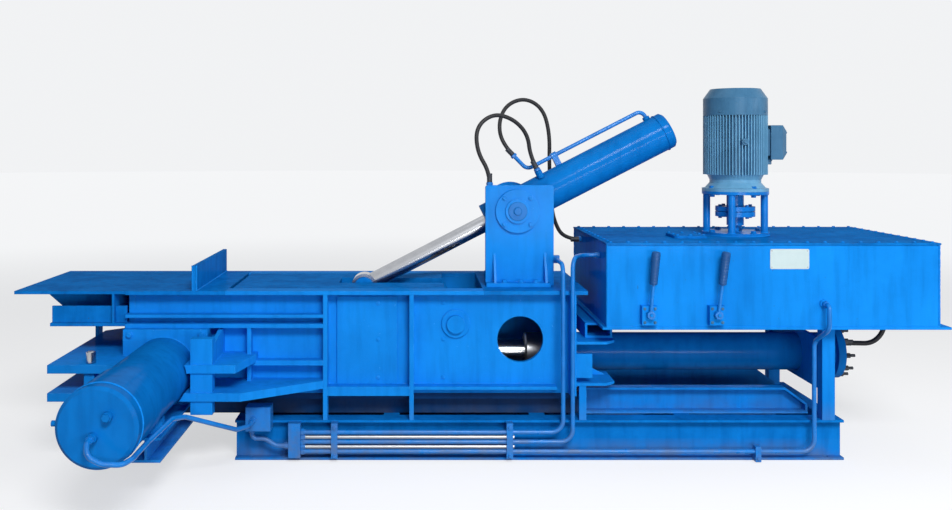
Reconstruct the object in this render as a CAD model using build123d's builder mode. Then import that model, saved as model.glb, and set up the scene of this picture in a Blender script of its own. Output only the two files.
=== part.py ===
from build123d import *
import math
import os

# Base: two long I-beams on the floor, tied by channels
skid_length = 3060
skid_height = 200
skid_flange = 100
skid_flange_thickness = 12
skid_web = 10
skid_spacing = 700
anchor_hole_radius = 11
anchor_inset = 80
tie_width = 80
tie_wall = 10
tie_count = 5

# Press body: a long steel chamber on the base
body_right = 244
body_length = 2326
ram_end_setback = 58
plate = 30
chamber_width = 600
floor_beam_height = 90
floor_beam_width = 80
floor_beam_spacing = 440
bale_height = 292
wall_height = 509
flange_reach = 70
flange_thickness = 20
rib_thickness = 22
rib_shift = 25.5
rib_from_pivot = 225
panel_thickness = 10
run_gap = 4
seat_gap = 0.3
upper_ledge_drop = 115
lower_ledge_drop = 166
ledge_thickness = 16
bay_lip_rise = 32
bay_lip_length = 721
stop_from_lid = 185
stop_height = 128

# Inspection hole in the near wall
hole_x = -89
hole_drop = 236
hole_radius = 117

# Lid and its pivot
pivot_x = -418
pivot_drop = 156
pivot_radius = 32
pivot_washer_radius = 46
pivot_washer_thickness = 20
boss_radius = 71
boss_thickness = 12
fit_gap = 0.05
roof_overlap = 148
lid_hinge_gap = 57
lid_side_gap = 12
lid_skin = 20
arm_eye_radius = 54
lug_arm = 482
lug_drop = 27
lug_pin_radius = 20
lug_gap = 104
lug_thickness = 30
lug_round = 52
link_play = 25

# Main ram, driven from the right
ram_back_gap = 396
ram_length = 400
ram_front_plate = 40
ram_wall = 34
main_bore = 84
main_radius = 100
main_rod_radius = 65
main_gland_reach = 191
main_gland_length = 95
main_tube_right = 1620
main_flange_thickness = 40
main_flange_half = 98
main_flange_extra = 30
tail_flange_radius = 142
tail_flange_thickness = 42
tail_bolt_count = 10
tail_nut_height = 22
tail_stud_length = 48
piston_length = 70

# Side ram, driven from the near side
side_width = 344
side_block_depth = 90
side_plate = 40
side_radius = 158
side_collar_radius = 166
side_collar_length = 290
side_bore = 130
side_rod_radius = 75
side_tube_end = -1472
side_cap = 70
cradle_width = 130
cradle_height = 110
cradle_length = 670
yoke_plate = 40
yoke_front = -650
yoke_reach = 299
wing_reach = 420
yoke_pin_radius = 17
yoke_pin_height = 58

# Cylinder that lifts the lid
trunnion_x = -90
trunnion_height = 389
lift_radius = 100
lift_bore = 78
lift_rod_radius = 45
lift_nose = 160
lift_tail = 945
lift_cap = 45
trunnion_radius = 50
bracket_before = 166
bracket_behind = 191
bracket_above = 135
far_bracket_round = 140
bracket_thickness = 25
bracket_gap = 340
bracket_foot = 20
bracket_foot_width = 70
bearing_radius = 114
bearing_thickness = 18
bearing_bolt_inset = 18

# Gate behind the bale chamber
gate_thickness = 30
gate_overlap = 12
gate_height = 316
gate_travel = 370
gate_end_gap = 18
guide_depth = 70
guide_end = 20
guide_overlap = 68
housing_reach = 558
gate_cylinder_radius = 40
gate_rod_radius = 20

# Oil tank and motor
tank_gap = 78
tank_length = 1640
tank_depth = 980
tank_bottom = 684
tank_height = 406
tank_base_thickness = 12
tank_cover_thickness = 9
leg_left = 1421
leg_width = 64
hatch_length = 173
hatch_width = 200
hatch_thickness = 14
motor_from_tank = 793
motor_flange_height = 236
motor_frame_length = 318
motor_bell = 90
motor_cowl_length = 144
fin_count = 64
fin_thickness = 5
box_height = 185
box_reach = 261
motor_flange_radius = 174
motor_radius = 168
stand_radius = 150
stand_post_radius = 19
stand_plate = 16
coupling_radius = 104
shaft_radius = 21

# Pipes
pipe_radius = 11
hose_radius = 11
pipe_pitch = 24
pipe_bend = 60

# Beams under the main cylinder
sill_height = 130
sill_width = 60
sill_wall = 12
sill_inner = 202

# Levels and faces that follow from the sizes above
body_left = body_right - body_length
ram_end_right = body_right - ram_end_setback
skid_y = skid_spacing / 2
beam_top = skid_height + floor_beam_height
floor_top = beam_top + plate
roof_z = floor_top + bale_height
wall_top = floor_top + wall_height
deck_top = wall_top + flange_thickness
half_width = chamber_width / 2
wall_face = half_width + plate
flange_edge = wall_face + flange_reach
wall_left = body_left + plate
wall_right = ram_end_right - plate
ram_axis_z = floor_top + bale_height / 2
ram_back = wall_right - ram_back_gap
main_gland_left = wall_right - main_gland_reach
upper_ledge_z = wall_top - upper_ledge_drop
lower_ledge_z = wall_top - lower_ledge_drop
bay_lip_z = floor_top + bay_lip_rise
pivot_z = wall_top - pivot_drop
rib_right_x = pivot_x - rib_from_pivot
hole_z = wall_top - hole_drop
side_left = wall_left
side_right = side_left + side_width
side_x = (side_left + side_right) / 2
side_axis_z = ram_axis_z
wing_tip = side_x + wing_reach
rib_left_x = (wing_tip + rib_right_x) / 2 - rib_shift
lid_left = side_right + roof_overlap
lid_right = pivot_x - lid_hinge_gap
lug_x = pivot_x - lug_arm
lug_z = deck_top - lug_drop
trunnion_z = deck_top + trunnion_height
bracket_left = trunnion_x - bracket_before
bracket_right = trunnion_x + bracket_behind
bracket_top = trunnion_z + bracket_above
discharge_deck_right = lid_left - flange_thickness
ram_deck_left = bracket_left - 24
gate_x = (side_left - gate_overlap + 2, side_right + gate_overlap)
guide_left = gate_x[0] - gate_travel - gate_end_gap - guide_end
guide_right = side_right + guide_overlap
tank_left = body_right + tank_gap
tank_top = tank_bottom + tank_height
tank_right = tank_left + tank_length
cover_top = tank_top + tank_cover_thickness
motor_x = tank_left + motor_from_tank
motor_flange_z = cover_top + motor_flange_height
bracket_face = bracket_gap / 2
lift_angle = math.degrees(math.atan2(trunnion_z - lug_z, trunnion_x - lug_x))
lift_reach = math.hypot(trunnion_z - lug_z, trunnion_x - lug_x)


def block(x, y, z, mode=Mode.ADD):
    """Add a square-edged block between pairs of limits to the part in hand."""
    with Locations(((x[0] + x[1]) / 2, (y[0] + y[1]) / 2, (z[0] + z[1]) / 2)):
        Box(x[1] - x[0], y[1] - y[0], z[1] - z[0], mode=mode)


def both(y):
    """The same pair of limits on the near side and on the far side."""
    return (-y[1], -y[0]), (y[0], y[1])


def save(shape, label):
    """Name the piece and write it."""
    shape.label = label
    export_step(shape, f"parts/{label}.step")


def tube(points, radii, radius):
    """A round pipe along straight runs joined by bends."""
    with BuildPart() as pipe:
        with BuildLine() as route:
            FilletPolyline(*points, radius=radii)
        with BuildSketch(Plane(origin=route.line @ 0, z_dir=route.line % 0)):
            Circle(radius)
        sweep()
    return pipe.part


def bend_radii(points, share=0.45):
    """The largest bends that the runs leave room for."""
    radii = []
    for before, here, after in zip(points, points[1:], points[2:]):
        first, second = Vector(*here) - Vector(*before), Vector(*after) - Vector(*here)
        turn = math.radians(first.get_angle(second))
        radii.append(share * min(first.length, second.length) / math.tan(turn / 2))
    return radii


def along(s, n, y=0):
    """A point s along the lift cylinder from its trunnion and n above its axis."""
    turn = math.radians(lift_angle)
    return (trunnion_x + s * math.cos(turn) - n * math.sin(turn), y,
            trunnion_z + s * math.sin(turn) + n * math.cos(turn))


os.makedirs("parts", exist_ok=True)

# Skid beams, I-sections rolled in one piece, with anchor holes in the lower flange
anchor_x = skid_length / 2 - anchor_inset
anchor_y = skid_y + skid_flange / 4
with BuildPart() as skids:
    with BuildSketch(Plane.YZ.offset(-skid_length / 2)):
        for side in (-1, 1):
            with Locations((side * skid_y, skid_height / 2)):
                Rectangle(skid_flange, skid_height)
            for turn in (-1, 1):
                with Locations((side * skid_y + turn * (skid_flange + skid_web) / 4, skid_height / 2)):
                    Rectangle((skid_flange - skid_web) / 2, skid_height - 2 * skid_flange_thickness,
                              mode=Mode.SUBTRACT)
    extrude(amount=skid_length)
    with Locations(*[(x, y, skid_flange_thickness / 2) for x in (-anchor_x, anchor_x)
                     for y in (-anchor_y, anchor_y)]):
        Cylinder(anchor_hole_radius, skid_flange_thickness, mode=Mode.SUBTRACT)
save(skids.part, "skid_beams")

# Cross channels between the skids
tie_span = skid_spacing - skid_flange
tie_step = (skid_length - tie_width) / (tie_count - 1)
with BuildPart() as ties:
    with BuildSketch(Plane.XZ.offset(-tie_span / 2)):
        with GridLocations(tie_step, 1, tie_count, 1):
            with Locations((0, skid_height / 2)):
                Rectangle(tie_width, skid_height)
            with Locations((tie_wall / 2, skid_height / 2)):
                Rectangle(tie_width - tie_wall, skid_height - 2 * tie_wall, mode=Mode.SUBTRACT)
    extrude(amount=tie_span)
save(ties.part, "cross_channels")

# Floor beams and floor plate; channels carry on from the beams under the main cylinder
with BuildPart() as floor_beams:
    for y in both(((floor_beam_spacing - floor_beam_width) / 2, (floor_beam_spacing + floor_beam_width) / 2)):
        block((body_left, body_right), y, (skid_height, beam_top))
    sill_end = leg_left - 18
    sill_top = skid_height + sill_height
    for depth, wall in ((sill_wall, 0), (sill_width, sill_wall)):
        with BuildSketch(Plane.XZ.offset(sill_inner)):
            with BuildLine():
                Polyline((body_right, skid_height), (sill_end, skid_height), (sill_end, skid_height + 47),
                         (sill_end - 114, sill_top), (body_right, sill_top), close=True)
            make_face()
            if wall:
                offset(amount=-wall, mode=Mode.SUBTRACT)
        extrude(amount=depth)
    mirror(about=Plane.XZ)
save(floor_beams.part, "floor_beams")

with BuildPart() as floor_plate:
    block((body_left, body_right), (-wall_face, wall_face), (beam_top, floor_top))
save(floor_plate.part, "floor_plate")

# Chamber walls, with the side opening for the bale and bores for the lid pivot
for side, label in ((-1, "near_wall"), (1, "far_wall")):
    inner, outer = side * half_width, side * wall_face
    y = (min(inner, outer), max(inner, outer))
    with BuildPart() as wall:
        block((wall_left, wall_right), y, (floor_top, wall_top))
        block((side_left, side_right), y, (floor_top, roof_z), mode=Mode.SUBTRACT)
        panel = sorted((outer, outer + side * panel_thickness))
        block((rib_left_x + 55, rib_right_x - 74), panel, (bay_lip_z + ledge_thickness, wall_top - ledge_thickness))
        with BuildSketch(Plane.XZ.offset(-outer)):
            with Locations((pivot_x, pivot_z)):
                Circle(boss_radius)
        extrude(amount=-side * boss_thickness)
        with BuildSketch(Plane.XZ.offset(-(outer + side * boss_thickness))):
            with Locations((pivot_x, pivot_z)):
                Circle(pivot_radius)
        extrude(amount=side * (plate + boss_thickness), mode=Mode.SUBTRACT)
        if side < 0:
            with BuildSketch(Plane.XZ.offset(wall_face)):
                with Locations((hole_x, hole_z)):
                    Circle(hole_radius)
            extrude(amount=-plate, mode=Mode.SUBTRACT)
    save(wall.part, label)

# Ribs welded upright on both walls, standing on the skids
with BuildPart() as ribs:
    for x in (rib_left_x, rib_right_x):
        for y in both((wall_face, flange_edge)):
            block((x - rib_thickness / 2, x + rib_thickness / 2), y, (skid_height, wall_top))
save(ribs.part, "wall_ribs")

# Flanges and ledges that stiffen the walls
lip_left = rib_right_x + rib_thickness / 2
with BuildPart() as ledges:
    for y in both((wall_face, flange_edge)):
        left_run = (body_left, rib_left_x - rib_thickness / 2)
        block(left_run, y, (upper_ledge_z, upper_ledge_z + ledge_thickness))
        block(left_run, y, (lower_ledge_z, lower_ledge_z + flange_thickness))
        block((lip_left, lip_left + bay_lip_length), y, (bay_lip_z, bay_lip_z + ledge_thickness))
        block((rib_left_x + rib_thickness / 2, rib_right_x - rib_thickness / 2), y,
              (bay_lip_z - plate, bay_lip_z + ledge_thickness))
    for y in both((half_width, flange_edge)):
        block((discharge_deck_right, ram_deck_left), y, (wall_top, deck_top))
save(ledges.part, "wall_flanges")

# End plates
with BuildPart() as left_end:
    block((body_left, wall_left), (-wall_face, wall_face), (floor_top, wall_top))
save(left_end.part, "left_end_plate")

with BuildPart() as ram_end:
    block((wall_right, ram_end_right), (-flange_edge, flange_edge), (floor_top, wall_top))
    with BuildSketch(Plane.YZ.offset(wall_right)):
        with Locations((0, ram_axis_z)):
            Circle(main_radius + fit_gap)
    extrude(amount=plate, mode=Mode.SUBTRACT)
save(ram_end.part, "ram_end_plate")

# Decks over the bale chamber and over the ram, the first with an upright scrap stop
stop_x = lid_left - stop_from_lid
with BuildPart() as discharge_deck:
    block((body_left, discharge_deck_right), (-flange_edge, flange_edge), (wall_top, deck_top))
    block((stop_x, stop_x + flange_thickness), (-flange_edge, flange_edge), (deck_top, deck_top + stop_height))
save(discharge_deck.part, "discharge_deck")

with BuildPart() as ram_deck:
    block((ram_deck_left, body_right), (-flange_edge, flange_edge), (wall_top, deck_top))
save(ram_deck.part, "ram_deck")

# Roof of the bale chamber, ribbed up to the deck
roof_rib_spacing = 230
with BuildPart() as roof:
    block((wall_left, discharge_deck_right), (-half_width, half_width), (roof_z, roof_z + plate))
    block((discharge_deck_right - plate, discharge_deck_right), (-half_width, half_width), (roof_z, wall_top))
    for y in (-roof_rib_spacing, 0, roof_rib_spacing):
        block((wall_left, discharge_deck_right), (y - lid_skin / 2, y + lid_skin / 2), (roof_z, wall_top))
save(roof.part, "chamber_roof")

# Gate housing that overhangs the left end
housing_left = body_left - housing_reach
shelf_left = guide_left + 10
shelf_z = lower_ledge_z + 9
shelf_plate = 16
web_plate = 12
with BuildPart() as housing:
    block((housing_left, body_left), (-flange_edge, flange_edge), (deck_top - shelf_plate, deck_top))
    block((shelf_left, body_left), (-flange_edge, flange_edge), (shelf_z, shelf_z + shelf_plate))
    block((shelf_left, body_left), (-flange_edge + 30, -flange_edge + 30 + web_plate), (shelf_z, shelf_z + 98))
    with BuildSketch(Plane.XZ.offset(chamber_width / 4 - web_plate)):
        with BuildLine():
            Polyline((body_left, shelf_z), (shelf_left, shelf_z), (shelf_left, shelf_z + 40),
                     (housing_left + 40, deck_top - shelf_plate), (housing_left + 40, deck_top), (body_left, deck_top),
                     close=True)
        make_face()
    extrude(amount=web_plate)
    for y in both((flange_edge - 250, flange_edge)):
        block((body_left - 55 - web_plate, body_left - 55), y, (shelf_z, deck_top))
save(housing.part, "gate_housing")

# Frame and cover plate that carry the side cylinder, with a beam and saddle under its barrel
frame_right = side_right + 48
frame_top = lower_ledge_z
with BuildPart() as side_frame:
    block((body_left, frame_right), (-flange_edge, -wall_face), (beam_top, frame_top))
    block((side_left, side_right), (-flange_edge, -wall_face), (floor_top, roof_z), mode=Mode.SUBTRACT)
    with BuildSketch(Plane.XZ.offset(wall_face)):
        with Locations((side_x + cradle_width / 2, beam_top - cradle_height / 2)):
            Rectangle(cradle_width, cradle_height)
        for turn in (-1, 1):
            with Locations((side_x + cradle_width / 2 + turn * (cradle_width + skid_web) / 4,
                            beam_top - cradle_height / 2)):
                Rectangle((cradle_width - skid_web) / 2, cradle_height - 2 * skid_flange_thickness,
                          mode=Mode.SUBTRACT)
    extrude(amount=cradle_length)
    with BuildSketch(Plane.XZ.offset(wall_face + cradle_length - 110)):
        with BuildLine():
            Polyline((side_x + 8, beam_top), (side_x + cradle_width - 8, beam_top),
                     (side_x + cradle_width - 8, beam_top + 70), (side_x + 8, beam_top + 70), close=True)
        make_face()
        with Locations((side_x, side_axis_z)):
            Circle(side_radius + seat_gap, mode=Mode.SUBTRACT)
    extrude(amount=50)
save(side_frame.part, "side_ram_frame")

cover_y = flange_edge + side_plate
with BuildPart() as side_cover:
    block((body_left, frame_right), (-cover_y, -flange_edge), (beam_top, frame_top))
    with BuildSketch(Plane.XZ.offset(flange_edge)):
        with Locations((side_x, side_axis_z)):
            Circle(side_rod_radius + fit_gap)
    extrude(amount=side_plate, mode=Mode.SUBTRACT)
save(side_cover.part, "side_cylinder_flange")

# Side cylinder barrel with a thicker collar at its closed end
side_tube_length = -side_tube_end - cover_y - side_cap
with BuildPart() as side_barrel:
    with BuildSketch(Plane.XZ.offset(cover_y)):
        with Locations((side_x, side_axis_z)):
            Circle(side_radius)
    extrude(amount=side_tube_length)
    with BuildSketch(Plane.XZ.offset(cover_y + side_tube_length - side_collar_length)):
        with Locations((side_x, side_axis_z)):
            Circle(side_collar_radius)
    extrude(amount=side_collar_length)
    with BuildSketch(Plane.XZ.offset(cover_y)):
        with Locations((side_x, side_axis_z)):
            Circle(side_bore)
    extrude(amount=side_tube_length, mode=Mode.SUBTRACT)
save(side_barrel.part, "side_barrel")

side_ports = ((side_x - 10, side_axis_z - 32), (side_x + 49, side_axis_z + 51))
side_port_radius = 20
side_port_length = 28
with BuildPart() as side_end:
    with BuildSketch(Plane.XZ.offset(-side_tube_end - side_cap)):
        with Locations((side_x, side_axis_z)):
            Circle(side_collar_radius)
    extrude(amount=side_cap)
    chamfer(side_end.faces().sort_by(Axis.Y)[0].edges(), 14)
    with BuildSketch(Plane.XZ.offset(-side_tube_end)):
        with Locations(*side_ports):
            Circle(side_port_radius)
    extrude(amount=side_port_length)
    with BuildSketch(Plane.XZ.offset(-side_tube_end + side_port_length)):
        with Locations(side_ports[1]):
            RegularPolygon(side_port_radius - 3, 6)
    extrude(amount=12)
    with BuildSketch(Plane.YZ.offset(side_x - side_collar_radius - 20)):
        with Locations((side_tube_end + side_cap / 2, side_axis_z + 12)):
            Circle(12)
    extrude(amount=34)
save(side_end.part, "side_end_cap")

# Side ram: piston, rod and head
with BuildPart() as side_rod:
    piston_start = -side_tube_end - side_cap - run_gap - piston_length
    rod_start = flange_edge - 10
    with BuildSketch(Plane.XZ.offset(piston_start)):
        with Locations((side_x, side_axis_z)):
            Circle(side_bore - fit_gap)
    extrude(amount=piston_length)
    with BuildSketch(Plane.XZ.offset(rod_start)):
        with Locations((side_x, side_axis_z)):
            Circle(side_rod_radius)
    extrude(amount=piston_start - rod_start)
save(side_rod.part, "side_rod")

with BuildPart() as side_head:
    block((side_left + run_gap, side_right - run_gap), (-half_width - side_block_depth, -half_width),
          (floor_top + run_gap, roof_z - run_gap))
save(side_head.part, "side_pusher_head")

# Yoke plates left of the side cylinder, wrapped round the end of the body
yoke_z = (side_axis_z - 108, side_axis_z + 26)
yoke_left = body_left - yoke_reach
yoke_back = wall_face - 4
notch_radius = side_radius + 8
with BuildPart() as yoke:
    for z in yoke_z:
        with BuildSketch(Plane.XY.offset(z)):
            with BuildLine():
                Polyline((yoke_left, yoke_front), (side_x, yoke_front), (side_x, -cover_y), (body_left, -cover_y),
                         (body_left, yoke_back), (body_left - 200, yoke_back), (yoke_left, yoke_back - 90), close=True)
            make_face()
        extrude(amount=yoke_plate)
    with BuildSketch(Plane.XZ.offset(cover_y)):
        with Locations((side_x, side_axis_z)):
            Circle(notch_radius)
    extrude(amount=-yoke_front, mode=Mode.SUBTRACT)
    block((body_left - 130, body_left - 80), (yoke_front + 20, yoke_front + 80), (yoke_z[0] - 60, yoke_z[1]))
    block((body_left - 200, body_left - 160), (yoke_back - 60, yoke_back), (yoke_z[0], shelf_z))
save(yoke.part, "left_yoke")

# Steel pin that stands on the yoke
with BuildPart() as yoke_pin:
    with BuildSketch(Plane.XY.offset(yoke_z[1] + yoke_plate)):
        with Locations((body_left - 105, yoke_front + 50)):
            Circle(yoke_pin_radius)
    extrude(amount=yoke_pin_height)
    chamfer(yoke_pin.faces().sort_by(Axis.Z)[-1].edges(), 3)
save(yoke_pin.part, "yoke_pin")

# Wing plates between the side cylinder and the first rib, tied by a post, a gusset and a rib
wing_post = (wing_tip - 240, wing_tip - 135)
wing_post_top = lower_ledge_z - 8
wing_edge = rib_left_x - rib_thickness / 2
upper_corners = [(wing_tip - 24, yoke_front), (wing_tip + 36, -flange_edge), (wing_tip + 36, -wall_face)]
lower_corners = [(wing_tip, yoke_front), (wing_edge, -flange_edge), (wing_edge, -wall_face)]
with BuildPart() as wing:
    for z, corners in zip(yoke_z, (lower_corners, upper_corners)):
        with BuildSketch(Plane.XY.offset(z)):
            with BuildLine():
                Polyline((side_x, yoke_front), *corners, (frame_right, -wall_face), (frame_right, -cover_y),
                         (side_x, -cover_y), close=True)
            make_face()
        extrude(amount=yoke_plate)
    with BuildSketch(Plane.XZ.offset(wall_face)):
        with Locations((side_x, side_axis_z)):
            Circle(notch_radius)
    extrude(amount=-yoke_front, mode=Mode.SUBTRACT)
    block(wing_post, (yoke_front + 10, yoke_front + 70), (yoke_z[0] - 66, wing_post_top))
    with BuildSketch(Plane.YZ.offset(wing_post[1] - 20)):
        with BuildLine():
            Polyline((yoke_front + 70, yoke_z[1] + yoke_plate), (-wall_face, yoke_z[1] + yoke_plate),
                     (-wall_face, wing_post_top), (-flange_edge, wing_post_top), (yoke_front + 70, wing_post_top - 30),
                     close=True)
        make_face()
    extrude(amount=20)
    block((wing_tip - 10, wing_tip + 10), (-flange_edge, -wall_face), (yoke_z[0] + yoke_plate, lower_ledge_z))
    block((wing_tip + 10, wing_edge), (-flange_edge, -wall_face), (yoke_z[1] - 14, yoke_z[1] + 8))
save(wing.part, "right_wing")

# Main cylinder, bolted to the ram end plate by a square flange
with BuildPart() as main_barrel:
    with BuildSketch(Plane.YZ.offset(main_gland_left + main_gland_length)):
        with Locations((0, ram_axis_z)):
            Circle(main_radius)
    extrude(amount=main_tube_right - main_gland_left - main_gland_length)
    with BuildSketch(Plane.YZ.offset(ram_end_right)):
        with Locations((0, ram_axis_z)):
            RectangleRounded(2 * (main_flange_half + main_flange_extra), 2 * main_flange_half, 12)
    extrude(amount=main_flange_thickness)
    with BuildSketch(Plane.YZ.offset(main_gland_left + main_gland_length)):
        with Locations((0, ram_axis_z)):
            Circle(main_bore)
    extrude(amount=main_tube_right - main_gland_left - main_gland_length, mode=Mode.SUBTRACT)
save(main_barrel.part, "main_barrel")

with BuildPart() as main_gland:
    with BuildSketch(Plane.YZ.offset(main_gland_left)):
        with Locations((0, ram_axis_z)):
            Circle(main_radius)
            Circle(main_rod_radius + fit_gap, mode=Mode.SUBTRACT)
    extrude(amount=main_gland_length)
    chamfer(main_gland.faces().sort_by(Axis.X)[0].outer_wire().edges(), 8)
save(main_gland.part, "main_gland")

with BuildPart() as main_tail:
    with BuildSketch(Plane.YZ.offset(main_tube_right)):
        with Locations((0, ram_axis_z)):
            Circle(tail_flange_radius)
    extrude(amount=tail_flange_thickness)
    chamfer(main_tail.faces().sort_by(Axis.X)[-1].edges(), 5)
save(main_tail.part, "main_tail_cap")

tail_bolt_circle = tail_flange_radius - 20
with BuildPart() as tail_bolts:
    with BuildSketch(Plane.YZ.offset(main_tube_right + tail_flange_thickness)):
        with Locations((0, ram_axis_z)):
            with PolarLocations(tail_bolt_circle, tail_bolt_count):
                RegularPolygon(14, 6)
    extrude(amount=tail_nut_height)
    with BuildSketch(Plane.YZ.offset(main_tube_right + tail_flange_thickness)):
        with Locations((0, ram_axis_z)):
            with PolarLocations(tail_bolt_circle, tail_bolt_count):
                Circle(8)
    extrude(amount=tail_stud_length)
save(tail_bolts.part, "tail_bolts")

# Main ram: piston, rod and hollow pusher head
ram_front = ram_back - ram_length
with BuildPart() as main_rod:
    piston_x = main_tube_right - run_gap - piston_length
    with BuildSketch(Plane.YZ.offset(ram_front + ram_front_plate)):
        with Locations((0, ram_axis_z)):
            Circle(main_rod_radius)
    extrude(amount=piston_x - ram_front - ram_front_plate)
    with BuildSketch(Plane.YZ.offset(piston_x)):
        with Locations((0, ram_axis_z)):
            Circle(main_bore - fit_gap)
    extrude(amount=piston_length)
save(main_rod.part, "main_rod")

with BuildPart() as head:
    ram_half = half_width - run_gap
    ram_z = (floor_top + run_gap, roof_z - run_gap)
    block((ram_front, ram_back), (-ram_half, ram_half), ram_z)
    block((ram_front + ram_front_plate, ram_back), (-ram_half + ram_wall, ram_half - ram_wall),
          (ram_z[0] + ram_wall, ram_z[1] - ram_wall), mode=Mode.SUBTRACT)
    for y in both((main_rod_radius + 40, main_rod_radius + 60)):
        block((ram_front + ram_front_plate, ram_back - 30), y, (ram_z[0] + ram_wall, ram_z[1] - ram_wall))
save(head.part, "main_pusher_head")

# Gussets that stiffen the ram end plate, with short ribs between them and a post to the skid
gusset_reach = 200
gusset_plate = 14
gusset_z = (ram_axis_z - 94, ram_axis_z + 114)
gusset_inner = main_flange_half + main_flange_extra + 4
gusset_post = (body_right - 44, body_right - 8)
with BuildPart() as gussets:
    for z in gusset_z:
        for y in (-1, 1):
            with BuildSketch(Plane.XY.offset(z)):
                with BuildLine():
                    Polyline((ram_end_right, y * gusset_inner), (ram_end_right + gusset_reach, y * gusset_inner),
                             (ram_end_right + gusset_reach, y * (flange_edge - 50)),
                             (ram_end_right + gusset_reach - 50, y * flange_edge),
                             (ram_end_right, y * flange_edge), close=True)
                make_face()
            extrude(amount=gusset_plate)
    for y in both((flange_edge - 22, flange_edge - 2)):
        block((ram_end_right, ram_end_right + 80), y, (gusset_z[0] + 40, gusset_z[0] + 160))
        block(gusset_post, y, (skid_height, gusset_z[0]))
    for y in both((gusset_inner + 60, gusset_inner + 74)):
        with BuildSketch(Plane.XZ.offset(-y[1])):
            with BuildLine():
                Polyline((ram_end_right, gusset_z[0] + gusset_plate), (ram_end_right + 180, gusset_z[0] + gusset_plate),
                         (ram_end_right, gusset_z[0] + 100), close=True)
            make_face()
        extrude(amount=y[1] - y[0])
save(gussets.part, "ram_end_gussets")

# Lid: a welded tray that closes the chamber, with arms to the pivot
lid_half = half_width - lid_side_gap
lid_top = deck_top
slot_half = lug_gap / 2 + lug_thickness + 14
arm_inner = lid_half - 30
with BuildPart() as lid:
    block((lid_left, lid_right), (-lid_half, lid_half), (roof_z, roof_z + plate))
    for y in both((lid_half - lid_skin, lid_half)):
        block((lid_left, lid_right), y, (roof_z, lid_top))
    block((lid_left, lid_left + 25), (-lid_half, lid_half), (roof_z, lid_top))
    for x in (lid_left + (lug_x - 150 - lid_left) / 3, lid_left + (lug_x - 150 - lid_left) * 2 / 3, lug_x + 220):
        block((x, x + lid_skin), (-lid_half, lid_half), (roof_z, roof_z + 110))
    for y in both((slot_half, lid_half)):
        block((lid_left, lid_right), y, (lid_top - 20, lid_top))
    block((lid_left, lug_x - 130), (-slot_half, slot_half), (lid_top - 20, lid_top))
    for y in both((slot_half, slot_half + lid_skin)):
        block((lug_x - 150, lid_right), y, (roof_z, lid_top))
    block((lug_x - 150, lug_x - 130), (-slot_half, slot_half), (roof_z, lid_top))
    for y in both((arm_inner, lid_half)):
        with BuildSketch(Plane.XZ.offset(-y[1])):
            with BuildLine():
                Polyline((lid_right, roof_z + 8), (pivot_x, pivot_z - arm_eye_radius),
                         (pivot_x, pivot_z + arm_eye_radius), (lid_right, lid_top - 8), close=True)
            make_face()
            with Locations((pivot_x, pivot_z)):
                Circle(arm_eye_radius)
                Circle(pivot_radius + fit_gap, mode=Mode.SUBTRACT)
        extrude(amount=y[1] - y[0])
save(lid.part, "lid")

with BuildPart() as pivots:
    for y in both((arm_inner - 6, wall_face + boss_thickness)):
        with BuildSketch(Plane.XZ.offset(-y[1])):
            with Locations((pivot_x, pivot_z)):
                Circle(pivot_radius)
        extrude(amount=y[1] - y[0])
    for y in both((wall_face + boss_thickness, wall_face + boss_thickness + pivot_washer_thickness)):
        with BuildSketch(Plane.XZ.offset(-y[1])):
            with Locations((pivot_x, pivot_z)):
                Circle(pivot_washer_radius)
        extrude(amount=y[1] - y[0])
save(pivots.part, "lid_pivot_pins")

with BuildPart() as lugs:
    for y in both((lug_gap / 2, lug_gap / 2 + lug_thickness)):
        with BuildSketch(Plane.XZ.offset(-y[1])):
            with BuildLine():
                Polyline((lug_x - 90, roof_z + plate), (lug_x + 90, roof_z + plate),
                         (lug_x + lug_round, lug_z), (lug_x - lug_round, lug_z), close=True)
            make_face()
            with Locations((lug_x, lug_z)):
                Circle(lug_round)
        extrude(amount=y[1] - y[0])
    pin_half = lug_gap / 2 + lug_thickness + 6
    with BuildSketch(Plane.XZ.offset(-pin_half)):
        with Locations((lug_x, lug_z)):
            Circle(lug_pin_radius)
    extrude(amount=2 * pin_half)
save(lugs.part, "lid_lugs")

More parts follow.
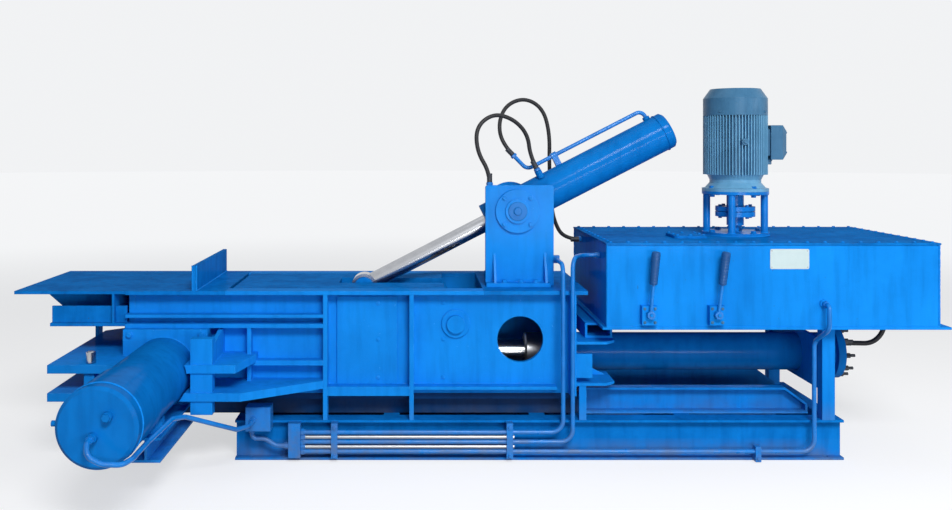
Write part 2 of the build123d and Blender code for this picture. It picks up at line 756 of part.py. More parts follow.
# Lift cylinder, set along the line from the lid lug to the trunnion
lift_axis = Plane(origin=(trunnion_x, 0, trunnion_z), x_dir=(0, 1, 0),
                  z_dir=(math.cos(math.radians(lift_angle)), 0, math.sin(math.radians(lift_angle))))
lift_up = (-math.sin(math.radians(lift_angle)), 0, math.cos(math.radians(lift_angle)))
rod_port_reach = 206
rod_port_y = -50
rod_port_height = lift_radius + 26
feed_port_reach = lift_tail - 75
feed_port_height = lift_radius + 14
feed_y = 22
port_radius = 19
with BuildPart() as lift_barrel:
    with BuildSketch(lift_axis.offset(-lift_nose)):
        Circle(lift_radius)
    extrude(amount=lift_nose + lift_tail - lift_cap)
    with BuildSketch(Plane.XZ.offset(-bracket_face - bracket_thickness - 3)):
        with Locations((trunnion_x, trunnion_z)):
            Circle(trunnion_radius)
    extrude(amount=2 * (bracket_face + bracket_thickness + 3))
    with BuildSketch(Plane.XZ.offset(-bracket_face + 4)):
        with Locations((trunnion_x, trunnion_z)):
            Circle(trunnion_radius + 16)
    extrude(amount=2 * (bracket_face - 4))
    with BuildSketch(lift_axis.offset(-70)):
        Circle(lift_radius + 16)
    extrude(amount=140)
    with BuildSketch(lift_axis.offset(40 - lift_nose)):
        Circle(lift_bore)
    extrude(amount=lift_nose + lift_tail - lift_cap - 40, mode=Mode.SUBTRACT)
    with BuildSketch(lift_axis.offset(-lift_nose)):
        Circle(lift_rod_radius + fit_gap)
    extrude(amount=40, mode=Mode.SUBTRACT)
    for reach, y, top in ((rod_port_reach, rod_port_y, rod_port_height), (feed_port_reach, feed_y, feed_port_height)):
        port = Plane(origin=along(reach, top, y), x_dir=(0, 1, 0), z_dir=lift_up)
        with BuildSketch(port):
            Circle(port_radius)
        extrude(amount=lift_radius - 16 - top)
save(lift_barrel.part, "lift_barrel")

with BuildPart() as lift_end:
    with BuildSketch(lift_axis.offset(lift_tail - lift_cap)):
        Circle(lift_radius)
    extrude(amount=lift_cap)
    chamfer(lift_end.faces().sort_by(Axis.X)[-1].edges(), 12)
save(lift_end.part, "lift_end_cap")

eye_bore = lug_pin_radius + link_play
eye_radius = eye_bore + 23
with BuildPart() as lift_rod:
    piston_start = 44 - lift_nose
    with BuildSketch(lift_axis.offset(piston_start)):
        Circle(lift_bore - fit_gap)
    extrude(amount=piston_length)
    with BuildSketch(lift_axis.offset(-lift_reach + eye_bore + 10)):
        Circle(lift_rod_radius)
    extrude(amount=lift_reach - eye_bore - 10 + piston_start)
    with BuildSketch(Plane.XZ.offset(-lug_gap / 2 + 4)):
        with Locations((lug_x, lug_z)):
            Circle(eye_radius)
    extrude(amount=lug_gap - 8)
    with BuildSketch(Plane.XZ.offset(-lug_gap / 2 + 4)):
        with Locations((lug_x, lug_z)):
            Circle(eye_bore)
    extrude(amount=lug_gap - 8, mode=Mode.SUBTRACT)
save(lift_rod.part, "lift_rod")

# Bracket plates, square on the near side and rounded on the far side, each on a foot with two gussets
with BuildPart() as brackets:
    for side in (-1, 1):
        inner = side * bracket_face
        outer = inner + side * bracket_thickness
        left = bracket_left if side < 0 else trunnion_x - far_bracket_round
        right = bracket_right if side < 0 else trunnion_x + far_bracket_round
        with BuildSketch(Plane.XZ.offset(-inner)):
            with BuildLine():
                if side < 0:
                    Polyline((left, deck_top), (right, deck_top), (right, bracket_top - 8), (right - 8, bracket_top),
                             (left + 8, bracket_top), (left, bracket_top - 8), close=True)
                else:
                    Polyline((left, trunnion_z), (left, deck_top), (right, deck_top), (right, trunnion_z))
                    ThreePointArc((right, trunnion_z), (trunnion_x, trunnion_z + far_bracket_round),
                                  (left, trunnion_z))
            make_face()
            with Locations((trunnion_x, trunnion_z)):
                Circle(trunnion_radius + fit_gap, mode=Mode.SUBTRACT)
        extrude(amount=-side * bracket_thickness)
        foot = sorted((outer, outer + side * bracket_foot_width))
        block((left, right - 25), foot, (deck_top, deck_top + bracket_foot))
        for x in (left + 46, right - 46):
            with BuildSketch(Plane.YZ.offset(x - 6)):
                with BuildLine():
                    Polyline((outer, deck_top + bracket_foot), (outer + side * (bracket_foot_width - 6),
                             deck_top + bracket_foot), (outer, deck_top + bracket_foot + 150), close=True)
                make_face()
            extrude(amount=12)
save(brackets.part, "lift_brackets")

with BuildPart() as bearing:
    for side in (-1, 1):
        outer = side * (bracket_face + bracket_thickness)
        with BuildSketch(Plane.XZ.offset(-outer)):
            with Locations((trunnion_x, trunnion_z)):
                Circle(bearing_radius)
                Circle(trunnion_radius + fit_gap, mode=Mode.SUBTRACT)
        extrude(amount=-side * bearing_thickness)
        with BuildSketch(Plane.XZ.offset(-(outer + side * bearing_thickness))):
            with Locations((trunnion_x, trunnion_z)):
                Circle(trunnion_radius + 14)
        extrude(amount=-side * 12)
        with BuildSketch(Plane.XZ.offset(-(outer + side * bearing_thickness))):
            with Locations((trunnion_x, trunnion_z)):
                with PolarLocations(bearing_radius - bearing_bolt_inset, 4, 45):
                    RegularPolygon(11, 6)
        extrude(amount=-side * 12)
save(bearing.part, "trunnion_housings")

# Gate, its guides and its cylinder on the far wall
gate_near = wall_face + 3
gate_y = (gate_near, gate_near + gate_thickness)
gate_z = (floor_top + run_gap, floor_top + run_gap + gate_height)
gate_lug_height = 60
gate_axis_y = gate_y[1] + 78
gate_axis_z = ram_axis_z
with BuildPart() as gate:
    block(gate_x, gate_y, gate_z)
    for x in (gate_x[0] + 60, gate_x[1] - 80):
        block((x, x + 20), (gate_y[1], gate_y[1] + 24), (gate_z[0] + 40, gate_z[1] - 40))
    block((gate_x[1] - 24, gate_x[1]), (gate_y[1], gate_axis_y + 40),
          (gate_axis_z - gate_lug_height, gate_axis_z + gate_lug_height))
save(gate.part, "bale_gate")

guide_lip = gate_y[1] + 4
with BuildPart() as guides:
    block((guide_left, guide_right), (wall_face, wall_face + guide_depth), (beam_top, gate_z[0] - run_gap))
    block((guide_left, guide_right), (guide_lip, wall_face + guide_depth), (beam_top, gate_z[0] + 24))
    block((guide_left, guide_right), (wall_face, wall_face + guide_depth), (gate_z[1] + run_gap, lower_ledge_z))
    block((guide_left, guide_right), (guide_lip, wall_face + guide_depth), (gate_z[1] - 24, lower_ledge_z))
    block((guide_left, guide_left + guide_end), (wall_face, wall_face + guide_depth), (beam_top, lower_ledge_z))
save(guides.part, "gate_guides")

gate_barrel_left = guide_right + 90
gate_barrel_right = gate_barrel_left + gate_travel + 90
with BuildPart() as gate_barrel:
    with BuildSketch(Plane.YZ.offset(gate_barrel_left)):
        with Locations((gate_axis_y, gate_axis_z)):
            Circle(gate_cylinder_radius)
    extrude(amount=gate_barrel_right - gate_barrel_left)
    with BuildSketch(Plane.YZ.offset(gate_barrel_left)):
        with Locations((gate_axis_y, gate_axis_z)):
            Circle(gate_rod_radius + fit_gap)
    extrude(amount=gate_barrel_right - gate_barrel_left - 12, mode=Mode.SUBTRACT)
    for x in (gate_barrel_left, gate_barrel_right - 30):
        block((x, x + 30), (wall_face, gate_axis_y - gate_cylinder_radius + 6), (gate_axis_z - 50, gate_axis_z + 50))
save(gate_barrel.part, "gate_barrel")

with BuildPart() as gate_rod:
    with BuildSketch(Plane.YZ.offset(gate_x[1])):
        with Locations((gate_axis_y, gate_axis_z)):
            Circle(gate_rod_radius)
    extrude(amount=gate_barrel_right - 20 - gate_x[1])
save(gate_rod.part, "gate_rod")

# Oil tank: an open shell on a base plate, with a bolted cover
tank_wall = 8
tank_half = tank_depth / 2
tank_port_x = tank_right - 570
tank_port_z = tank_bottom + 116
tank_port_length = 10
base_z = tank_bottom - tank_base_thickness
with BuildPart() as tank:
    block((tank_left - 22, tank_right + 58), (-tank_half - 5, tank_half + 5), (base_z, tank_bottom))
    block((tank_left, tank_right), (-tank_half, tank_half), (tank_bottom, tank_top))
    block((tank_left + tank_wall, tank_right - tank_wall), (-tank_half + tank_wall, tank_half - tank_wall),
          (tank_bottom, tank_top), mode=Mode.SUBTRACT)
    with BuildSketch(Plane.XZ.offset(tank_half)):
        with Locations((tank_port_x, tank_port_z)):
            Circle(2 * pipe_radius)
    extrude(amount=tank_port_length)
save(tank.part, "oil_tank")

with BuildPart() as cover:
    block((tank_left - 6, tank_right + 6), (-tank_half - 6, tank_half + 6), (tank_top, cover_top))
    with BuildSketch(Plane.XY.offset(cover_top)):
        with Locations((motor_x - 309, -150)):
            RectangleRounded(hatch_length, hatch_width, 20)
    extrude(amount=hatch_thickness)
save(cover.part, "tank_cover")

# Supports: a box beam on the gussets, two legs on the skids and a plate round the cylinder
saddle_z = gusset_z[1] + gusset_plate
saddle_x = (ram_end_right + gusset_reach - 140, ram_end_right + gusset_reach)
with BuildPart() as supports:
    block(saddle_x, (-half_width, half_width), (saddle_z, base_z))
    block((saddle_x[0] + sill_wall, saddle_x[1] - sill_wall), (-half_width, half_width),
          (saddle_z + sill_wall, base_z - sill_wall), mode=Mode.SUBTRACT)
    for y in both((flange_edge - 60, flange_edge)):
        block((leg_left, leg_left + leg_width), y, (skid_height, base_z))
    block((leg_left + 20, leg_left + 40), (-flange_edge + 60, flange_edge - 60), (ram_axis_z - 130, ram_axis_z + 130))
    with BuildSketch(Plane.YZ.offset(leg_left + 20)):
        with Locations((0, ram_axis_z)):
            Circle(main_radius + fit_gap)
    extrude(amount=20, mode=Mode.SUBTRACT)
save(supports.part, "tank_supports")

# Stand of four posts between the tank cover and the motor flange
post_angles = (65, 155, 245, 335)
stand_top = motor_flange_z - stand_plate
with BuildPart() as stand:
    with BuildSketch(Plane.XY.offset(cover_top)):
        with Locations((motor_x, 0)):
            Circle(motor_flange_radius)
            Circle(shaft_radius + fit_gap, mode=Mode.SUBTRACT)
    extrude(amount=stand_plate)
    with BuildSketch(Plane.XY.offset(cover_top + stand_plate)):
        with Locations((motor_x, 0)):
            with PolarLocations(stand_radius, len(post_angles), post_angles[0]):
                Circle(stand_post_radius)
    extrude(amount=stand_top - cover_top - stand_plate)
    with BuildSketch(Plane.XY.offset(stand_top)):
        with Locations((motor_x, 0)):
            Circle(motor_flange_radius)
            Circle(motor_flange_radius - 60, mode=Mode.SUBTRACT)
    extrude(amount=stand_plate)
save(stand.part, "motor_stand")

# Shaft coupling, which turns with the motor shaft
coupling_z = (cover_top + 99, cover_top + 125, cover_top + 129, cover_top + 153)
with BuildPart() as coupling:
    for low, high, radius in ((cover_top + 3, motor_flange_z + 30, shaft_radius),
                              (cover_top + 51, motor_flange_z - 25, 45),
                              (coupling_z[0], coupling_z[1], coupling_radius),
                              (coupling_z[1], coupling_z[2], coupling_radius - 12),
                              (coupling_z[2], coupling_z[3], coupling_radius)):
        with BuildSketch(Plane.XY.offset(low)):
            with Locations((motor_x, 0)):
                Circle(radius)
        extrude(amount=high - low)
    with BuildSketch(Plane.XY.offset(coupling_z[0] - 10)):
        with Locations((motor_x, 0)):
            with PolarLocations(coupling_radius - 22, 6):
                RegularPolygon(10, 6)
    extrude(amount=coupling_z[3] - coupling_z[0] + 20)
save(coupling.part, "shaft_coupling")

# Flange motor: waisted end bell, finned frame, fan cowl and terminal box
frame_z = (motor_flange_z + motor_bell, motor_flange_z + motor_bell + motor_frame_length)
core_radius = motor_radius - 26
box_z = (frame_z[0] + 80, frame_z[0] + 80 + box_height)
motor_plane = Plane(origin=(motor_x, 0, motor_flange_z), x_dir=(1, 0, 0), z_dir=(0, -1, 0))
motor_axis = Axis((motor_x, 0, 0), (0, 0, 1))
with BuildPart() as motor:
    with BuildSketch(motor_plane):
        with BuildLine():
            Polyline((0, 0), (motor_flange_radius, 0), (motor_flange_radius, 16), (core_radius + 16, 19),
                     (core_radius - 8, 46), (core_radius - 8, 62), (core_radius + 6, motor_bell), (0, motor_bell),
                     close=True)
        make_face()
    revolve(axis=motor_axis)
    with BuildSketch(Plane.XY.offset(frame_z[0])):
        with Locations((motor_x, 0)):
            Circle(core_radius)
            with PolarLocations(core_radius + 10, fin_count):
                Rectangle(32, fin_thickness)
    extrude(amount=motor_frame_length)
    block((motor_x + core_radius + 2, motor_x + motor_radius + 10), (-62, 62), (box_z[0] + 20, box_z[1] - 20),
          mode=Mode.SUBTRACT)
    with BuildSketch(Plane.XY.offset(motor_flange_z)):
        with Locations((motor_x, 0)):
            Circle(shaft_radius + fit_gap)
    extrude(amount=40, mode=Mode.SUBTRACT)
save(motor.part, "motor")

cowl_height = motor_cowl_length
with BuildPart() as cowl:
    with BuildSketch(Plane(origin=(motor_x, 0, frame_z[1]), x_dir=(1, 0, 0), z_dir=(0, -1, 0))):
        with BuildLine():
            Polyline((0, 0), (motor_radius, 0), (motor_radius, cowl_height - 52), (motor_radius - 36, cowl_height),
                     (0, cowl_height), close=True)
        make_face()
    revolve(axis=motor_axis)
    with BuildSketch(Plane.XY.offset(frame_z[1] + cowl_height - 6)):
        with Locations((motor_x, 0)):
            with PolarLocations(76, 12):
                SlotOverall(64, 9)
    extrude(amount=6, mode=Mode.SUBTRACT)
save(cowl.part, "fan_cowl")

with BuildPart() as terminal:
    block((motor_x + core_radius + 2, motor_x + core_radius + 26), (-60, 60), (box_z[0] + 22, box_z[1] - 22))
    block((motor_x + core_radius + 26, motor_x + box_reach), (-76, 76), box_z)
    chamfer(terminal.faces().sort_by(Axis.X)[-1].edges(), 30)
save(terminal.part, "terminal_box")

# Hand valves on the near side of the tank, each with a lever that swings on its pin
valve_z = 754
valve_depth = 40
valve_face = -tank_half - valve_depth
lever_pin_radius = 8
lever_hub_radius = 19
lever_thickness = 30
lever_rod_radius = 8
lever_rod_length = 150
lever_grip_radius = 17
lever_grip_length = 158
valves = (("valve_lever_left", 524, 5), ("valve_lever_right", 855, 7))
with BuildPart() as valve_blocks:
    for label, x, lean in valves:
        block((x - 38, x + 38), (valve_face, -tank_half), (valve_z - 54, valve_z + 40))
        with BuildSketch(Plane.XZ.offset(-valve_face)):
            with Locations((x, valve_z)):
                Circle(lever_pin_radius)
        extrude(amount=lever_thickness + 8)
save(valve_blocks.part, "valve_blocks")

for label, x, lean in valves:
    tilt = math.radians(lean)
    lever_y = valve_face - 2 - lever_thickness / 2
    lean_plane = Plane(origin=(x, lever_y, valve_z), x_dir=(math.cos(tilt), 0, -math.sin(tilt)), z_dir=(0, -1, 0))
    grip_top = lever_rod_length + lever_grip_length
    with BuildPart() as lever:
        with BuildSketch(Plane.XZ.offset(-valve_face + 2)):
            with Locations((x, valve_z)):
                Circle(lever_hub_radius)
        extrude(amount=lever_thickness)
        with BuildSketch(lean_plane):
            with BuildLine():
                Polyline((0, lever_hub_radius - 4), (lever_rod_radius, lever_hub_radius - 4),
                         (lever_rod_radius, lever_rod_length), (lever_grip_radius, lever_rod_length),
                         (lever_grip_radius + 3, grip_top - 8), (lever_grip_radius - 4, grip_top), (0, grip_top),
                         close=True)
            make_face()
        revolve(axis=Axis((x, lever_y, valve_z), (math.sin(tilt), 0, math.cos(tilt))))
        with BuildSketch(Plane.XZ.offset(-valve_face)):
            with Locations((x, valve_z)):
                Circle(lever_pin_radius + fit_gap)
        extrude(amount=lever_thickness + 8, mode=Mode.SUBTRACT)
    save(lever.part, label)

# Pipes along the near skid, held by clamp bars and fed from two distributor blocks
pipe_y = -flange_edge - 26
pipe_left = rib_left_x - 120
pipe_levels = [skid_height / 2 + pipe_pitch * step for step in (2, 1, 0, -1, -2)]
short_end = hole_x - 41
riser_x = (bracket_right + 14, bracket_right + 62)
riser_top = (trunnion_z - 253, trunnion_z - 219)
bracket_block_y = (-bracket_face - 30, -bracket_face + 5)
tail_riser_x = leg_left - 51
block_y = (-flange_edge - 90, -flange_edge)
block_x = (side_x + 418, side_x + 541)
port_y = side_tube_end - side_port_length
port_x, port_z = side_ports[0]
with BuildPart() as pipes:
    for route in (
            [(pipe_left, pipe_y, pipe_levels[0]), (riser_x[0], pipe_y, pipe_levels[0]),
             (riser_x[0], pipe_y, riser_top[0]), (riser_x[0], bracket_block_y[0], riser_top[0])],
            [(pipe_left, pipe_y, pipe_levels[2]), (riser_x[1], pipe_y, pipe_levels[2]),
             (riser_x[1], pipe_y, riser_top[1]), (riser_x[1] + 67, -half_width, riser_top[1]),
             (tank_left, -half_width, riser_top[1])],
            [(pipe_left, pipe_y, pipe_levels[4]), (tail_riser_x, pipe_y, pipe_levels[4]),
             (tail_riser_x, pipe_y, base_z - 72), (tank_port_x, -tank_half - 65, base_z + 12),
             (tank_port_x, -tank_half - 65, tank_port_z), (tank_port_x, -tank_half - tank_port_length, tank_port_z)],
            [(block_x[0] + 22, pipe_y, skid_height - 30), (block_x[0] + 22, pipe_y, skid_height - 84),
             (block_x[0] + 87, pipe_y, skid_height - 84), (pipe_left - 123, pipe_y, skid_height - 119),
             (pipe_left - 60, pipe_y, skid_height - 119)],
            [(port_x, port_y, port_z), (port_x, port_y - 52, port_z), (port_x + 12, port_y - 84, port_z - 42),
             (port_x + 62, port_y - 66, port_z - 76), (port_x + 130, port_y - 34, port_z - 90),
             (port_x + 154, port_y + 30, port_z - 86), (port_x + 156, port_y + 250, port_z - 84),
             (port_x + 193, port_y + 500, port_z - 60), (port_x + 230, port_y + 585, port_z - 74),
             (port_x + 342, port_y + 700, port_z - 141), (port_x + 421, port_y + 812, port_z - 198),
             (port_x + 465, port_y + 900, port_z - 205), (port_x + 465, block_y[0], port_z - 205)]):
        add(tube(route, [min(pipe_bend, radius) for radius in bend_radii(route)], pipe_radius))
save(pipes.part, "hydraulic_pipes")

with BuildPart() as steel_pipes:
    for level in (pipe_levels[1], pipe_levels[3]):
        with BuildSketch(Plane.YZ.offset(pipe_left)):
            with Locations((pipe_y, level)):
                Circle(pipe_radius - 1)
        extrude(amount=short_end - pipe_left)
save(steel_pipes.part, "steel_pipes")

clamp_top = skid_height - 4
clamp_y = (pipe_y - 20, -flange_edge)
tail_clamp_x = motor_x - 30
with BuildPart() as clamps:
    for x in (pipe_left + 169, short_end - 23):
        block((x - 16, x + 16), clamp_y, (20, clamp_top))
        with BuildSketch(Plane.YZ.offset(x - 16)):
            with Locations(*[(pipe_y, level) for level in pipe_levels]):
                Circle(pipe_radius + fit_gap)
        extrude(amount=32, mode=Mode.SUBTRACT)
    block((tail_clamp_x - 14, tail_clamp_x + 14), clamp_y, (4, 80))
    with BuildSketch(Plane.YZ.offset(tail_clamp_x - 14)):
        with Locations((pipe_y, pipe_levels[4])):
            Circle(pipe_radius + fit_gap)
    extrude(amount=28, mode=Mode.SUBTRACT)
    block((pipe_left - 60, pipe_left), clamp_y, (24, clamp_top))
    block(block_x, block_y, (skid_height - 30, skid_height + 88))
    block((bracket_right, bracket_right + 30), bracket_block_y, (riser_top[0] - 20, riser_top[0] + 20))
save(clamps.part, "pipe_clamps")

# Feed pipe along the lift cylinder, to the port at its closed end
feed_height = lift_radius + 55
feed_start = along(137, 246, feed_y)
feed_lead = along(109, 337, feed_y)
with BuildPart() as feed:
    add(tube([feed_start, along(165, feed_height, feed_y), along(feed_port_reach, feed_height, feed_y),
              along(feed_port_reach, feed_port_height, feed_y)], [40, 36], pipe_radius))
save(feed.part, "lift_feed_pipe")

# Flexible hoses of the lift cylinder and of the main cylinder
hose_near = [(-234, -bracket_face - 12, bracket_top), (-234, -182, 1440), (-300, -182, 1550), (-304, -170, 1680),
             (-210, -140, 1752), (-100, -110, 1722), (-20, -70, 1640),
             along(rod_port_reach, rod_port_height + 90, rod_port_y), along(rod_port_reach, rod_port_height, rod_port_y)]
hose_far = [feed_start, feed_lead, (-168, 60, 1700), (-120, 120, 1808), (-8, 165, 1850), (96, 190, 1790),
            (134, 196, 1650), (132, 200, 1480), (140, 205, 1300), (158, 215, 1160), (220, 230, 1050),
            (tank_left, 230, 1050)]
suction = [(main_tube_right + tail_flange_thickness, -40, 516), (1748, -40, 516), (1832, -43, 514),
           (1886, -46, 558), (1908, -45, 622), (1908, -45, base_z)]
for label, route, radius in (("lift_hose_near", hose_near, hose_radius), ("lift_hose_far", hose_far, hose_radius),
                             ("suction_hose", suction, hose_radius + 2)):
    radii = bend_radii(route)
    print(label, [round(value) for value in radii])
    save(tube(route, radii, radius), label)
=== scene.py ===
import math

import bmesh
import bpy
from mathutils import Matrix, Vector


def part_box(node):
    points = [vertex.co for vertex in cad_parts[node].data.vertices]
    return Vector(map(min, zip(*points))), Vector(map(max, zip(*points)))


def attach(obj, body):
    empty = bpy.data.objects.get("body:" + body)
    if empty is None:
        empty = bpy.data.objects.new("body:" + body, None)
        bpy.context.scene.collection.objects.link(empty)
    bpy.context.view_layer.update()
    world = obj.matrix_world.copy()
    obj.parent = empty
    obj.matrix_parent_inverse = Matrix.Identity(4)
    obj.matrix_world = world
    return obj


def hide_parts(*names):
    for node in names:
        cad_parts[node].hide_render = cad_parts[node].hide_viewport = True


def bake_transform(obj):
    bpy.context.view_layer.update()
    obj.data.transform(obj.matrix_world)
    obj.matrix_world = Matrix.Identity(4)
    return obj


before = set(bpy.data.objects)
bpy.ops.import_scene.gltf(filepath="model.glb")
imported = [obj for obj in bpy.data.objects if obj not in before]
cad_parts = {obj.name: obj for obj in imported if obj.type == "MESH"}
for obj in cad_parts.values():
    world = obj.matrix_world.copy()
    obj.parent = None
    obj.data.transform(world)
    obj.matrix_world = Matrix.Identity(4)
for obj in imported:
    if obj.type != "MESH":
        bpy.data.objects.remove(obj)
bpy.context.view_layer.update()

# Press body: thick steel plates, welded and then sprayed with one gloss enamel.
# The spray leaves a fine orange peel and slow changes of tone, and the corners of
# the plates and small chips take a lighter blue as a painted highlight.


def node(tree, kind, **settings):
    """Add a node with its settings."""
    made = tree.nodes.new(kind)
    for name, value in settings.items():
        setattr(made, name, value)
    return made


def wire(tree, *pairs):
    """Link outputs to inputs, pair by pair."""
    for output, target in pairs:
        tree.links.new(output, target)


def put(tree, socket, value):
    """Give a socket its value: a number, a vector, a colour or another node's output."""
    if isinstance(value, bpy.types.NodeSocket):
        tree.links.new(value, socket)
    else:
        socket.default_value = value


def open_group(name, inputs, outputs):
    """Start a shader group with named sockets and return its tree, input and output nodes."""
    tree = bpy.data.node_groups.new(name, "ShaderNodeTree")
    for label, kind, value in inputs:
        socket = tree.interface.new_socket(label, in_out="INPUT", socket_type=kind)
        socket.default_value = value
    for label, kind in outputs:
        tree.interface.new_socket(label, in_out="OUTPUT", socket_type=kind)
    return tree, node(tree, "NodeGroupInput"), node(tree, "NodeGroupOutput")


def noise(tree, place, scale, detail, roughness=0.5):
    """The value of a noise pattern at a place."""
    made = node(tree, "ShaderNodeTexNoise")
    for label, value in (("Vector", place), ("Scale", scale), ("Detail", detail), ("Roughness", roughness)):
        put(tree, made.inputs[label], value)
    return made.outputs["Fac"]


def ranged(tree, value, start, end, low=0.0, high=1.0, smooth=False):
    """A value that goes from low to high while the given one goes from start to end."""
    made = node(tree, "ShaderNodeMapRange", interpolation_type="SMOOTHSTEP" if smooth else "LINEAR")
    labels = ("Value", "From Min", "From Max", "To Min", "To Max")
    for label, item in zip(labels, (value, start, end, low, high)):
        put(tree, made.inputs[label], item)
    return made.outputs[0]


def mixed(tree, amount, below, above, blend="MIX"):
    """Two colours, mixed by an amount."""
    made = node(tree, "ShaderNodeMix", data_type="RGBA", blend_type=blend, clamp_factor=True)
    for socket, value in zip((made.inputs[0], made.inputs[6], made.inputs[7]), (amount, below, above)):
        put(tree, socket, value)
    return made.outputs[2]


def maths(tree, operation, *values, clamp=True):
    """The result of a maths operation, kept between 0 and 1 if it is clamped."""
    made = node(tree, "ShaderNodeMath", operation=operation, use_clamp=clamp)
    for socket, value in zip(made.inputs, values):
        put(tree, socket, value)
    return made.outputs[0]


def sprayed_enamel():
    """Gloss enamel over steel plate: tone, corners and small chips in a second colour that is worn undercoat
    on dark finishes and a painted highlight on the light body finish, dust near the floor.
    """
    tree, given, result = open_group(
        "sprayed_enamel",
        [("Paint", "NodeSocketColor", (0.01, 0.2, 0.7, 1)),
         ("Undercoat", "NodeSocketColor", (0.03, 0.06, 0.12, 1)),
         ("Tone Scale", "NodeSocketFloat", 2.5),
         ("Tone", "NodeSocketFloat", 0.5),
         ("Peel", "NodeSocketFloat", 0.4),
         ("Wear", "NodeSocketFloat", 0.4),
         ("Corner", "NodeSocketFloat", 0.004),
         ("Dust Height", "NodeSocketFloat", 0.3)],
        [("Color", "NodeSocketColor"), ("Roughness", "NodeSocketFloat"), ("Normal", "NodeSocketVector")])
    place = node(tree, "ShaderNodeTexCoord").outputs["Object"]

    clouds = noise(tree, place, given.outputs["Tone Scale"], detail=5, roughness=0.62)
    cloudy = ranged(tree, clouds, start=0.3, end=0.72, smooth=True)
    drawn_out = node(tree, "ShaderNodeMapping")
    drawn_out.inputs["Scale"].default_value = (9, 9, 1.1)
    wire(tree, (place, drawn_out.inputs["Vector"]))
    streaks = noise(tree, drawn_out.outputs[0], scale=3, detail=4)
    runs = ranged(tree, streaks, start=0.42, end=0.75, smooth=True)
    cloud_amount = maths(tree, "MULTIPLY", cloudy, given.outputs["Tone"])
    run_amount = maths(tree, "MULTIPLY", runs, given.outputs["Tone"])
    shaded = mixed(tree, cloud_amount, given.outputs["Paint"], (0.5, 0.62, 0.68, 1), "MULTIPLY")
    toned = mixed(tree, run_amount, shaded, (0.62, 0.74, 0.78, 1), "MULTIPLY")

    rounded = node(tree, "ShaderNodeBevel", samples=4)
    face = node(tree, "ShaderNodeNewGeometry")
    agreement = node(tree, "ShaderNodeVectorMath", operation="DOT_PRODUCT")
    wire(tree, (given.outputs["Corner"], rounded.inputs["Radius"]),
         (rounded.outputs[0], agreement.inputs[0]), (face.outputs["Normal"], agreement.inputs[1]))
    # Corners and chips take the second colour: worn undercoat on dark finishes, a painted highlight on the
    # lighter body finish.
    corner = ranged(tree, agreement.outputs["Value"], start=0.995, end=0.9, smooth=True)
    corner_patches = ranged(tree, noise(tree, place, scale=28, detail=6), start=0.46, end=0.62, smooth=True)
    chips = ranged(tree, noise(tree, place, scale=60, detail=3), start=0.735, end=0.75, smooth=True)
    corner_wear_and_highlight = maths(tree, "MULTIPLY", maths(tree, "MULTIPLY", corner, corner_patches), given.outputs["Wear"])
    chipped = maths(tree, "MULTIPLY", chips, given.outputs["Wear"])
    bare_and_highlight = maths(tree, "MAXIMUM", corner_wear_and_highlight, chipped)
    painted = mixed(tree, bare_and_highlight, toned, given.outputs["Undercoat"])

    heights = node(tree, "ShaderNodeSeparateXYZ")
    wire(tree, (place, heights.inputs[0]))
    low = ranged(tree, heights.outputs["Z"], given.outputs["Dust Height"], end=0.0, high=0.55)
    dusty = mixed(tree, maths(tree, "MULTIPLY", low, cloudy), painted, (0.16, 0.17, 0.18, 1))

    dullness = ranged(tree, cloudy, start=0.0, end=1.0, low=0.26, high=0.46)
    roughness = maths(tree, "ADD", maths(tree, "MULTIPLY", bare_and_highlight, 0.25), dullness)

    wave = noise(tree, place, scale=11, detail=3)
    peel = noise(tree, place, scale=210, detail=2)
    relief = maths(tree, "MULTIPLY_ADD", wave, 4.0, peel, clamp=False)
    relief_minus_wear_and_highlight = maths(tree, "SUBTRACT", relief, bare_and_highlight, clamp=False)
    bump = node(tree, "ShaderNodeBump")
    bump.inputs["Distance"].default_value = 0.0012
    wire(tree, (given.outputs["Peel"], bump.inputs["Strength"]), (relief_minus_wear_and_highlight, bump.inputs["Height"]),
         (rounded.outputs[0], bump.inputs["Normal"]), (dusty, result.inputs["Color"]),
         (roughness, result.inputs["Roughness"]), (bump.outputs[0], result.inputs["Normal"]))
    return tree


enamel = sprayed_enamel()


def finish_with(name, group, values, **shader):
    """A material whose colour, roughness and relief come from a group, and the rest from plain values."""
    made = bpy.data.materials.new(name)
    made.use_nodes = True
    tree = made.node_tree
    surface = tree.nodes["Principled BSDF"]
    effect = node(tree, "ShaderNodeGroup", node_tree=group)
    for label, value in values.items():
        effect.inputs[label].default_value = value
    for label, socket in (("Color", "Base Color"), ("Roughness", "Roughness"), ("Normal", "Normal")):
        wire(tree, (effect.outputs[label], surface.inputs[socket]))
    for label, value in shader.items():
        surface.inputs[label.replace("_", " ")].default_value = value
    return made


def dress(material, *names):
    """Give CAD nodes a material."""
    for name in names:
        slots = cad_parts[name].data.materials
        slots.clear()
        slots.append(material)


blue = (0.007, 0.235, 0.74, 1)
# The lighter blue given as the second colour paints a highlight along the plate corners and on small chips.
body_paint = finish_with(
    "body_enamel", enamel,
    {"Paint": blue, "Undercoat": (0.05, 0.33, 0.82, 1), "Tone": 0.5, "Wear": 0.6},
    Specular_IOR_Level=0.0, Coat_Weight=0.04, Coat_Roughness=0.12)
dress(body_paint, "near_wall", "far_wall", "wall_ribs", "wall_flanges", "left_end_plate",
      "ram_end_plate", "side_ram_frame", "side_cylinder_flange", "left_yoke", "right_wing",
      "ram_end_gussets", "gate_guides", "bale_gate", "lift_brackets", "trunnion_housings",
      "lid_pivot_pins")

